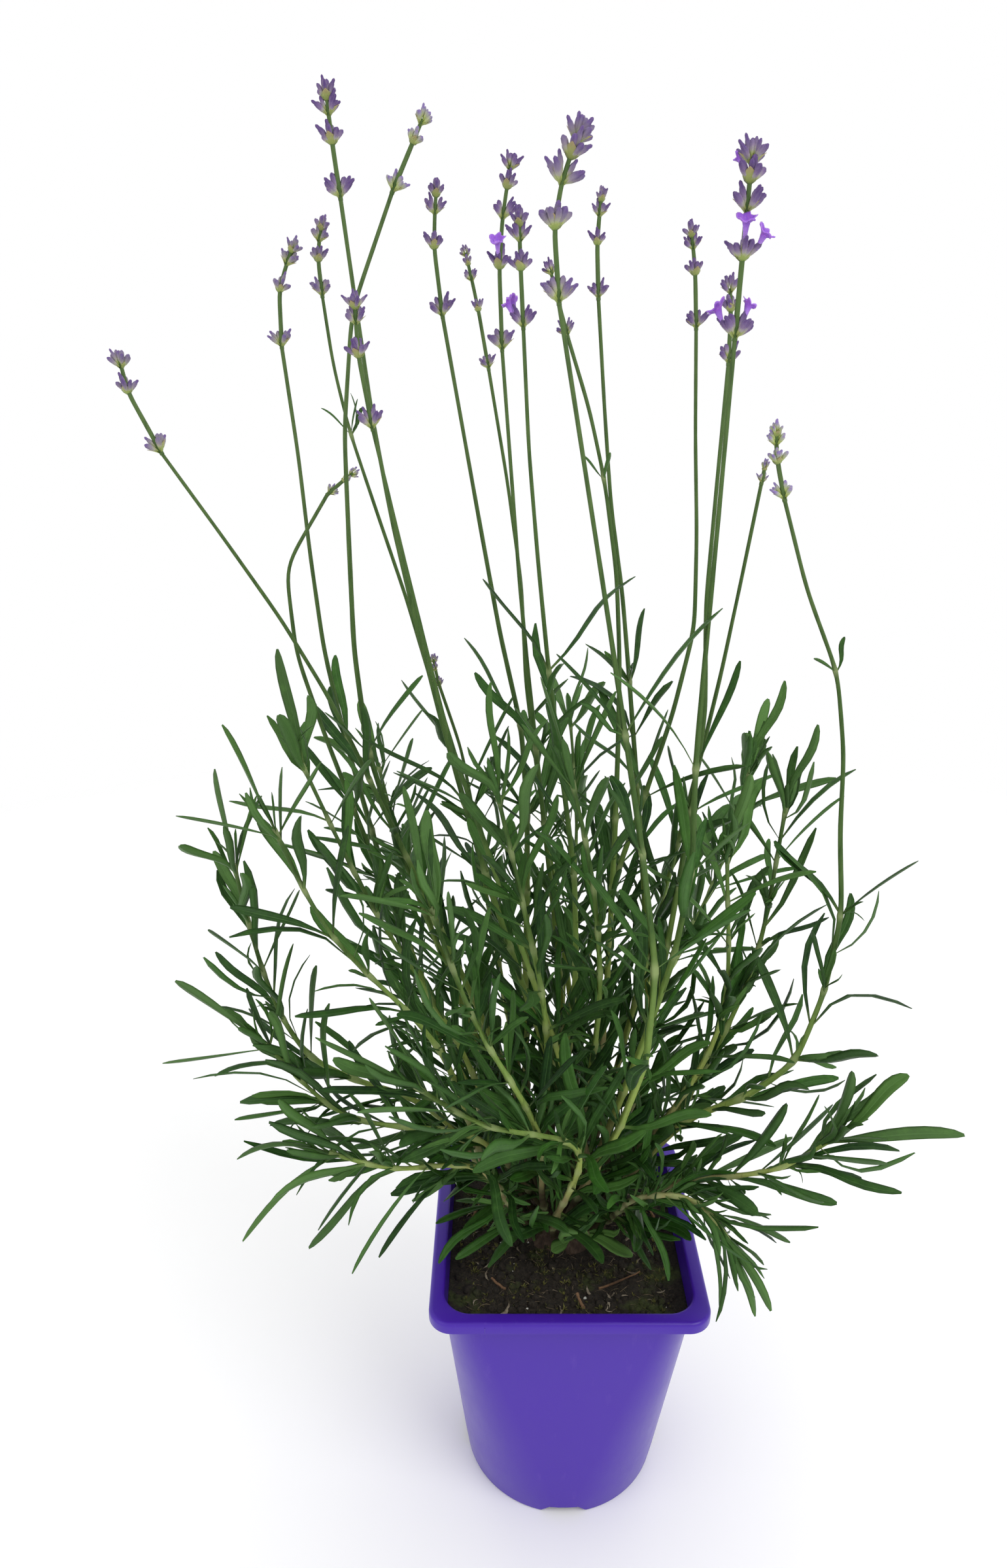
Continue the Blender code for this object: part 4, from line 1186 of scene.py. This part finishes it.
def crown_foliage(centre, radius, rng, leaves=34):
    """Leaves that spring from the crown, in a spiral that leaves the middle of the front open."""
    foliage = Foliage()
    for n in range(leaves):
        turn = n * SPIRAL + rng.uniform(-0.3, 0.3)
        way = tilted_way(rng.uniform(0.35, 1.25), turn)
        if way.y < -0.55 and abs(way.x) < 0.35:
            continue
        foliage.sprout(centre + way * radius * 0.98, (way + UP * 0.35).normalized(), UP,
                       long=rng.uniform(24, 42) * MM, half=rng.uniform(2.2, 3.7) * MM,
                       bend=rng.uniform(-0.9, -0.1), tone=rng.uniform(0.4, 1.0), young=rng.uniform(0.0, 0.3),
                       rng=rng)
    return foliage


class LAVENDER_OT_crown(bpy.types.Operator):
    """Make the gnarled woody crown that the stems grow from, the leaves on it and the old twigs beside it"""
    bl_idname = "lavender.crown"
    bl_label = "Crown"

    def execute(self, context):
        radius = (CROWN_HIGH.x - CROWN_LOW.x) / 2
        centre = Vector((CROWN_MIDDLE.x, CROWN_MIDDLE.y, CROWN_HIGH.z - radius))
        mesh = loft_mesh("gnarled_crown", crown_rings(centre, radius))
        mesh.materials.append(bark_finish(context.scene.lavender_stems))
        settle(linked("gnarled_crown", mesh), "wood", "woody_crown")

        rng = random.Random(SEEDS["crown"])
        lines = twig_mesh(rng)
        wood = grain_finish("old_twig", (0.09, 0.045, 0.020), (0.27, 0.15, 0.075), 1.5 * MM, 0.4 * MM)
        settle(crown_foliage(centre, radius, rng).piece("crown_leaves"), "leaf")
        settle(workshop().stems_along("old_twigs", lines, unevenness=0.5, finish=wood), "soil")
        return {"FINISHED"}


# Stems and leaves ---------------------------------------------------------------------------------

class Foliage:
    """Leaf lines gathered for one piece."""

    def __init__(self):
        self.points, self.lines = [], []
        self.values = {"side": [], "along": [], "half": [], "tone": [], "young": []}

    def add(self, base, middle, tip, side, half, up, tone, young, rng, points=BLADE_POINTS):
        """A leaf from BASE through MIDDLE to TIP, of half width HALF, with its upper face towards UP."""
        control = middle * 2 - (base + tip) / 2
        long = (tip - base).length
        if (tip - base).cross(side).dot(up) < 0:
            side = -side
        sway = side * long * rng.uniform(-0.05, 0.05)
        twist = rng.gauss(0, 0.35)
        self.lines.append((len(self.points), len(self.points) + points - 1))
        for k in range(points):
            t = 1 - (1 - k / (points - 1)) ** 1.35
            self.points.append(base * (1 - t) ** 2 + control * (2 * t * (1 - t)) + tip * t ** 2
                               + sway * math.sin(math.tau * t))
            tangent = ((control - base) * (1 - t) + (tip - control) * t).normalized()
            level = (side - tangent * side.dot(tangent)).normalized()
            for key, value in zip(self.values, (turned(level, tangent, twist * t), t, half, tone, young)):
                self.values[key].append(value)

    def sprout(self, root, way, up, long, half, bend, tone, young, rng):
        """A free leaf from ROOT that starts along WAY and bends towards or away from UP."""
        side = way.cross(up)
        side = side.normalized() if side.length > 0.05 else across(way)
        lift = (up - way * up.dot(way)).normalized()
        middle = root + way * long * 0.5 - lift * bend * long * 0.25
        tip = root + way * long + lift * bend * long * 0.5
        self.add(root, middle, tip, side, half, up, tone, young, rng, SPROUT_POINTS)

    def freshen(self, least):
        """Makes every leaf at least this young, and none dark."""
        self.values["young"] = [max(young, least) for young in self.values["young"]]
        self.values["tone"] = [1.0] * len(self.values["tone"])

    def piece(self, name):
        """All the leaves as one object."""
        shop = workshop()
        mesh = point_mesh(name, self.points, self.lines, **self.values)
        return shop.blades.run(name, mesh, Section=shop.leaf_section, Material=shop.leaf,
                               Leaf_Foot=bpy.context.scene.lavender_leaves.petiole)


def stem_piece(name, stem, look, tone, joint_reach=2.2 * MM, grown_at=0.42):
    """The stem itself, thicker and paler where its leaves join it. Its colours run from foot to GROWN_AT."""
    joints = [0.0] * len(stem.places)
    for leaf in stem.leaves:
        at = stem.reach[stem.nearest(leaf.root)]
        for k, reach in enumerate(stem.reach):
            joints[k] = max(joints[k], math.exp(-((reach - at) / joint_reach) ** 2))
    girths = [girth * (1 + look.swelling * joint) for girth, joint in zip(stem.girths, joints)]
    mesh = point_mesh(name, stem.places, [(0, len(stem.places) - 1)], girth=girths, joint=joints,
                      grown=[min(reach / grown_at, 1.0) for reach in stem.reach], tone=[tone] * len(girths))
    return workshop().stems_along(name, mesh, look.uneven, workshop().stem)


def crowding(look, place):
    """The share of the extra leaves that grow at a place, which is less high up."""
    return 1 if place.z < look.crowded else look.airy


def paired_leaf(foliage, stem, leaf, look, rng, young_from=0.75):
    """One of the packed stem's own leaves, younger near the stem's tip."""
    k = stem.nearest(leaf.root)
    height = stem.reach[k] / stem.reach[-1]
    foliage.add(stem.places[k].lerp(leaf.root, 0.6), leaf.middle, leaf.tip, leaf.side,
                leaf.half * look.broadness * rng.uniform(0.8, 1.15), up=stem.way(k), tone=rng.random(),
                young=(max(0.0, rng.gauss(0.08, 0.10))
                       + 0.35 * max(0.0, height - young_from) / (1 - young_from)), rng=rng)


def axil_tuft(foliage, stem, leaf, look, rng):
    """A bunch of small leaves between a leaf and its stem."""
    k = stem.nearest(leaf.root)
    way, out = stem.way(k), leaf.root - stem.places[k]
    out = (out - way * out.dot(way)).normalized()
    reach = look.tuft_length * rng.uniform(0.5, 1.15)
    heart = (way * 0.8 + out * 0.7).normalized()
    for n in range(rng.randint(1, look.tuft_leaves)):
        spread = across(heart) * rng.gauss(0, 0.30) + heart.cross(across(heart)) * rng.gauss(0, 0.30)
        long = reach * rng.uniform(0.45, 1.0)
        foliage.sprout(stem.skin(k, out) + way * n * 0.4 * MM, (heart + spread).normalized(), heart, long,
                       half=0.35 * MM + long * rng.uniform(0.030, 0.058), bend=rng.uniform(-0.6, 0.4),
                       tone=rng.random(), young=rng.uniform(0.05, 0.5), rng=rng)


def extra_pair(foliage, stem, k, look, rng):
    """Two opposite leaves on a stem between two of its packed pairs."""
    way = stem.way(k)
    turn = rng.uniform(0, math.tau)
    for side in (0, math.pi):
        out = turned(across(way), way, turn + side)
        aim = (way * rng.uniform(1.1, 2.4) + out).normalized()
        foliage.sprout(stem.skin(k, out), aim, way, long=rng.uniform(32, 52) * MM,
                       half=look.broadness * rng.uniform(1.3, 2.1) * MM, bend=rng.uniform(-0.5, 0.45),
                       tone=rng.random(), young=max(0.0, rng.gauss(0.05, 0.08)), rng=rng)


def young_tip(foliage, stem, leaves, rng):
    """A spiral of young leaves around a stem's tip, the shortest at its end."""
    end, way = stem.places[-1], stem.way(len(stem.places) - 1)
    for n in range(leaves):
        out = turned(across(way), way, n * SPIRAL + rng.uniform(-0.3, 0.3))
        lean = 0.12 + 0.09 * n * rng.uniform(0.7, 1.3)
        foliage.sprout(end - way * (1 + 1.2 * n) * MM, (way + out * lean).normalized(), way,
                       long=(15 + 3.2 * n) * MM * rng.uniform(0.8, 1.2), half=(1.0 + 0.16 * n) * MM,
                       bend=rng.uniform(-0.25, 0.35), tone=rng.random(), young=rng.uniform(0.1, 0.45),
                       rng=rng)


def dress_leaves(foliage, stem, look, rng, tuft_share, tip_leaves):
    """The stem's leaves as blades, small leaves in their axils, more pairs, and young leaves at its tip."""
    for leaf in stem.leaves:
        paired_leaf(foliage, stem, leaf, look, rng)
        if rng.random() <= tuft_share * crowding(look, leaf.root):
            axil_tuft(foliage, stem, leaf, look, rng)
    rooted = sorted({stem.nearest(leaf.root) for leaf in stem.leaves})
    for low, high in itertools.pairwise(rooted):
        k = (low + high) // 2
        if high - low >= 2 and rng.random() <= look.more_leaves * crowding(look, stem.places[k]):
            extra_pair(foliage, stem, k, look, rng)
    young_tip(foliage, stem, tip_leaves, rng)


def grow(nodes, name, scene, tuft_share, tip_leaves):
    """A stem piece and a leaf piece for each of the packed stems."""
    for number, node in enumerate(nodes, 1):
        rng = random.Random(SEEDS[name] + number)
        stem = Stem(node)
        piece = stem_piece(f"{name}_{number:02}_stem", stem, scene.lavender_stems, rng.random())
        settle(piece, "stalk", node)
        short = stem.reach[-1] < SHORT_SHOOT
        foliage = Foliage()
        dress_leaves(foliage, stem, scene.lavender_leaves, rng, 0.0 if short else tuft_share,
                     0 if short else tip_leaves)
        if short:
            foliage.freshen(SHORT_SHOOT_YOUNG)
        settle(foliage.piece(f"{name}_{number:02}_leaves"), "leaf", node)


class LAVENDER_OT_shoots(bpy.types.Operator):
    """Grow the leafy shoots: stems, paired leaves, tufts in the axils and young tips"""
    bl_idname = "lavender.shoots"
    bl_label = "Leafy Shoots"

    def execute(self, context):
        grow(SHOOTS, "shoot", context.scene, tuft_share=0.6, tip_leaves=6)
        return {"FINISHED"}


class LAVENDER_OT_stalks(bpy.types.Operator):
    """Grow the flower stalks up to their heads, with their leaves"""
    bl_idname = "lavender.stalks"
    bl_label = "Flower Stalks"

    def execute(self, context):
        grow(STALKS, "stalk", context.scene, tuft_share=0.5, tip_leaves=0)
        return {"FINISHED"}


# Flowers ------------------------------------------------------------------------------------------

def calyx_mesh(name, look, bud, slim):
    """A ribbed calyx standing on its foot, with or without a bud showing."""
    rows = [(0.0, 0.26), (0.14, 0.50), (0.38, 0.84), (0.72, 1.0), (0.92, 0.84)]
    rows += [(1.0, 0.64), (1.20, 0.54), (1.28, 0.20)] if bud else [(1.04, 0.28)]
    rings = []
    for t, wide in rows:
        lean = 0.10 * look.calyx_length * math.sin(math.pi * min(t, 1) * 0.5) ** 2
        ring = []
        for k in range(CALYX_RIBS):
            turn = k * math.tau / CALYX_RIBS
            radius = wide * look.calyx_girth * slim * (1 + (0.09 if k % 2 else -0.05))
            ring.append(Vector((radius * math.cos(turn) - lean, radius * math.sin(turn),
                                t * look.calyx_length)))
        rings.append(ring)
    mesh = loft_mesh(name, rings, {"along": [min(t, 1.0) * 0.95 + max(t - 1, 0) for t, _ in rows]})
    store(mesh, "rib", [float(k % 2) for _ in rows for k in range(CALYX_RIBS)])
    return mesh


def corolla_mesh(name, look, wide):
    """An open flower: a tube out of the calyx, and five lobes in two lips that turn back on themselves."""
    rings, along = [], []
    for height, radius, flare, drawn in (
            (0.70, 0.50, 0.0, 0.0), (0.95, 0.60, 0.0, 0.1), (1.20, 0.80, 0.05, 0.2), (1.40, 1.1, 0.20, 0.35),
            (1.54, 1.7, 0.55, 0.6), (1.64, 2.4, 0.85, 0.8), (1.66, 2.9, 1.0, 1.0), (1.60, 2.8, 1.0, 1.0),
            (1.57, 2.2, 0.8, 0.8), (1.46, 1.4, 0.5, 0.5), (1.34, 0.8, 0.1, 0.0)):
        ring = []
        for k in range(COROLLA_POINTS):
            turn = k * math.tau / COROLLA_POINTS
            lobe = (0.5 + 0.5 * math.cos(5 * turn)) ** 0.6
            reach = radius * look.calyx_girth * (1 - flare * 0.42 * (1 - lobe)) * (wide if flare > 0.3 else 1)
            upper = math.cos(turn)
            rise = (look.calyx_length * height
                    + flare * (0.9 * upper + 0.30 * math.sin(5 * turn) - 0.5 * (1 - lobe)) * MM)
            lip = 1.15 if upper < 0 else 0.85
            ring.append(Vector((-reach * upper * lip, reach * math.sin(turn), rise)))
        rings.append(ring)
        along.append(drawn)
    return loft_mesh(name, rings, {"along": along})


def bract_mesh(name):
    """A cupped, pointed bract that hugs the foot of a cyme."""
    rings, along = [], []
    for t, wide in ((0.0, 0.5), (0.2, 1.6), (0.45, 2.1), (0.7, 1.5), (0.9, 0.6), (1.0, 0.12)):
        out = 0.4 + 2.6 * t ** 1.2
        ring = []
        for u, thick in ((1, 0), (0.5, 1), (0, 1), (-0.5, 1), (-1, 0), (-0.5, -1), (0, -1), (0.5, -1)):
            ring.append(Vector((-(out - 0.8 * (u * wide / 2.1) ** 2 + 0.09 * thick), u * wide, 4.6 * t)) * MM)
        rings.append(ring)
        along.append(t)
    return loft_mesh(name, rings, {"along": along})


class Cluster:
    """Places for one kind of part, gathered for one recipe run."""

    def __init__(self):
        self.points = []
        self.values = {"aim": [], "facing": [], "scale": [], "kind": [], "tone": [], "pale": []}

    def add(self, place, aim, facing, scale, kind, tone, pale):
        """A part at PLACE that stands along AIM with its front towards FACING; KIND picks its shape."""
        self.points.append(place)
        for key, value in zip(self.values, (aim.normalized(), facing.normalized(), scale, kind, tone, pale)):
            self.values[key].append(value)

    def piece(self, name, group, finish):
        """All the parts as one object."""
        mesh = point_mesh(name, self.points, **self.values)
        return workshop().clusters.run(name, mesh, Parts=group, Material=finish)


def calyces_each_side(radius):
    """How many calyces fan out on each side of a whorl."""
    return 4 if radius > LARGE_WHORL else 3 if radius > MIDDLING_WHORL else 2


def whorl_spots(start, lean, each, top, rng):
    """Where the calyces of a whorl stand: turns around the stem, and tilts away from it."""
    spots = []
    for side in (start, start + math.pi):
        for k in range(each):
            fan = (k - (each - 1) / 2) * (2.3 / each)
            spots.append((side + fan + rng.uniform(-0.12, 0.12),
                          lean * (rng.uniform(0.80, 1.06) if k % 2 == 0 else rng.uniform(0.60, 0.95))))
        spots.append((side + rng.uniform(-0.5, 0.5), lean * rng.uniform(0.28, 0.5)))
    if top:
        spots += [(start + k * math.tau / TOP_CALYCES, rng.uniform(0.06, 0.22)) for k in range(TOP_CALYCES)]
    return spots


def dress_whorl(whorl, order, top, open_flowers, pale, look, rng, calyces, corollas, bracts):
    """Two opposite groups of calyces around the stem, with a bract under each, and more on the top whorl."""
    axis, radius = whorl.axis, whorl.radius
    flat = (Vector((1, 0, 0)) - axis * axis.x).normalized()
    start = order * QUARTER + rng.uniform(-0.3, 0.3)
    grown = min(max(radius / COMMON_WHORL, 0.5), 1.18)
    lean = math.asin(min((0.95 * radius - 0.6 * MM) / (look.calyx_length * grown), 0.88))
    spots = whorl_spots(start, lean, calyces_each_side(radius), top, rng)
    opened = set(rng.sample(range(len(spots) - (TOP_CALYCES if top else 0)), open_flowers))
    for n, (turn, tilt) in enumerate(spots):
        out = turned(flat, axis, turn)
        aim = axis * math.cos(tilt) + out * math.sin(tilt)
        place = whorl.place + out * 0.6 * MM + axis * (0.5 + 1.2 * (1 - tilt / max(lean, 0.01))) * MM
        stout = grown * rng.uniform(0.9, 1.08)
        long = grown * rng.uniform(0.86, 1.06)
        calyces.add(place, aim, out, Vector((stout, stout, long)), kind=rng.choice((0, 0, 0, 1, 1, 2)),
                    tone=rng.random(), pale=pale)
        if n in opened:
            rise = (axis * 0.55 + aim * 0.45).normalized()
            corollas.add(place + (aim - rise) * look.calyx_length * long * 0.7, rise, out,
                         Vector((1, 1, 1)) * grown * rng.uniform(0.95, 1.15), kind=rng.choice((0, 1)),
                         tone=rng.random(), pale=pale)
    for side in (start, start + math.pi):
        out = turned(flat, axis, side)
        bracts.add(whorl.place - axis * 0.4 * MM, axis * 0.9 + out * 0.25, -out, Vector((1, 1, 1)) * grown,
                   kind=0, tone=rng.random(), pale=pale)


def rachis(line, whorls):
    """The stem of a head, from under its first whorl into its top one."""
    shop = workshop()
    course = [line[0] - whorls[0].axis * 0.6 * MM, *(whorl.place for whorl in whorls[1:]),
              whorls[-1].place.lerp(line[-1], 0.25)]
    rows = len(course)
    girths = [0.85 * MM - 0.3 * MM * k / rows for k in range(rows)]
    places, girths = eased(course, girths, step=2 * MM, passes=4)
    steady = len(places)
    mesh = point_mesh("rachis", places, [(0, steady - 1)], girth=girths, joint=[0.0] * steady,
                      grown=[1.0] * steady, tone=[0.5] * steady)
    return shop.stems_along("rachis", mesh, unevenness=0.1, finish=shop.stem)


class LAVENDER_OT_heads(bpy.types.Operator):
    """Set the flower heads: whorls of calyces on bracts, with a few flowers open"""
    bl_idname = "lavender.heads"
    bl_label = "Flower Heads"

    def execute(self, context):
        look, shop = context.scene.lavender_flowers, workshop()
        calyx, petal, bract = calyx_finish(look), petal_finish(look), bract_finish(look)
        groups = {
            "calyces": shop.parts("calyces", [calyx_mesh("closed", look, False, 1.0),
                                              calyx_mesh("budded", look, True, 0.95),
                                              calyx_mesh("slim", look, False, 0.82)]),
            "petals": shop.parts("petals", [corolla_mesh("wide", look, 1.0),
                                            corolla_mesh("narrow", look, 0.8)]),
            "bracts": shop.parts("bracts", [bract_mesh("bract")]),
        }
        for number, (head, stalk) in enumerate(zip(HEADS, STALKS), 1):
            rng = random.Random(SEEDS["head"] + number)
            line, whorls = read_head(head, Stem(stalk).places[-1])
            calyces, corollas, bracts = Cluster(), Cluster(), Cluster()
            opened = OPEN_FLOWERS.get(number, ())
            pale = PALE_HEADS.get(number, OTHER_HEADS_PALE)
            for order, whorl in enumerate(whorls):
                dress_whorl(whorl, order, order == len(whorls) - 1,
                            opened[order] if order < len(opened) else 0,
                            min(1.0, pale + rng.uniform(0, 0.12)), look, rng, calyces, corollas, bracts)
            pieces = [bracts.piece("bracts", groups["bracts"], bract),
                      calyces.piece("calyces", groups["calyces"], calyx), rachis(line, whorls)]
            if corollas.points:
                pieces.insert(0, corollas.piece("petals", groups["petals"], petal))
            settle(joined(f"bloom_{number:02}", pieces), "flower", head)
        for group in groups.values():
            shop.clear(group)
        return {"FINISHED"}


# Stage --------------------------------------------------------------------------------------------

def floor_mesh(look, sides=96):
    """A round, nearly white floor."""
    mesh = bpy.data.meshes.new("pale_floor")
    mesh.from_pydata([level_way(k * math.tau / sides) * look.floor_radius for k in range(sides)], [],
                     [range(sides)])
    f = Finish("pale_floor")
    cloud = f.noise(0.5, 3)
    mesh.materials.append(f.done(f.mix(f.span(cloud, 0.3, 0.7, 0.0, 0.25), look.floor, (0.90, 0.90, 0.895)),
                                 f.span(cloud, 0.3, 0.7, 0.65, 0.8), Specular_IOR_Level=0.2))
    return mesh


def white_room(look):
    """A world that lights the scene softly and looks white behind it."""
    world = bpy.data.worlds.new("soft_room")
    world.use_nodes = True
    seen = NodeTree(world.node_tree).node("ShaderNodeLightPath", {}, {}, "Is Camera Ray")
    back = world.node_tree.nodes["Background"]
    back.inputs["Color"].default_value = (1, 1, 1, 1)
    strength = seen * (1 - ROOM_LIGHT) + ROOM_LIGHT * look.brightness
    world.node_tree.links.new(strength.socket, back.inputs["Strength"])
    return world


class LAVENDER_OT_stage(bpy.types.Operator):
    """Lay the pale floor, hang the soft lights and place the camera"""
    bl_idname = "lavender.stage"
    bl_label = "Stage"

    def execute(self, context):
        look, scene = context.scene.lavender_stage, context.scene
        linked("pale_floor", floor_mesh(look))
        for name, place, aim, wide, power in (
                ("soft_key", (1.0, -1.1, 1.7), (0.0, 0.0, 0.35), 1.3, 15.0),
                ("soft_fill", (-1.4, -1.0, 1.0), (0.0, 0.0, 0.30), 1.6, 5.0),
                ("soft_top", (0.1, 0.5, 2.1), (0.0, 0.0, 0.30), 1.8, 9.0)):
            lamp = bpy.data.lights.new(name, "AREA")
            lamp.shape, lamp.size, lamp.energy = "DISK", wide, power * look.brightness
            thing = linked(name, lamp)
            thing.location = place
            thing.rotation_euler = (Vector(aim) - Vector(place)).to_track_quat("-Z", "Y").to_euler()
        scene.world = white_room(look)

        lens = bpy.data.cameras.new("camera")
        lens.lens, lens.sensor_width, lens.clip_start = look.lens, 36.0, 0.01
        camera = linked("camera", lens)
        camera.location = look.camera
        camera.rotation_euler = (QUARTER - look.tilt, 0, 0)
        scene.camera = camera
        scene.view_settings.view_transform = "Standard"
        return {"FINISHED"}


OPERATORS = (LAVENDER_OT_stage, LAVENDER_OT_pot, LAVENDER_OT_soil, LAVENDER_OT_crown, LAVENDER_OT_shoots,
             LAVENDER_OT_stalks, LAVENDER_OT_heads)
LOOKS = {"lavender_pot": PotLook, "lavender_soil": SoilLook, "lavender_stems": StemLook,
         "lavender_leaves": LeafLook, "lavender_flowers": FlowerLook, "lavender_stage": StageLook}


class LAVENDER_PT_panel(bpy.types.Panel):
    """Lists what makes up the lavender and its sizes and colours"""
    bl_idname = "LAVENDER_PT_panel"
    bl_label = "Potted Lavender"
    bl_space_type = "VIEW_3D"
    bl_region_type = "UI"
    bl_category = "Lavender"

    def draw(self, context):
        for operator in OPERATORS:
            self.layout.operator(operator.bl_idname)
        for name, look in LOOKS.items():
            box = self.layout.box()
            box.label(text=look.__doc__)
            for key in look.__annotations__:
                box.prop(getattr(context.scene, name), key)


def register():
    """Adds the looks, the operators and the panel."""
    for kind in (*LOOKS.values(), *OPERATORS, LAVENDER_PT_panel):
        bpy.utils.register_class(kind)
    for name, look in LOOKS.items():
        setattr(bpy.types.Scene, name, bpy.props.PointerProperty(type=look))


def unregister():
    """Takes away what register() added."""
    for name in LOOKS:
        delattr(bpy.types.Scene, name)
    for kind in (LAVENDER_PT_panel, *OPERATORS[::-1], *list(LOOKS.values())[::-1]):
        bpy.utils.unregister_class(kind)


def main():
    """Builds the stage and the plant."""
    register()
    for operator in (bpy.ops.lavender.stage, bpy.ops.lavender.pot, bpy.ops.lavender.soil,
                     bpy.ops.lavender.crown, bpy.ops.lavender.shoots, bpy.ops.lavender.stalks,
                     bpy.ops.lavender.heads):
        operator()


if __name__ == "__main__":
    main()
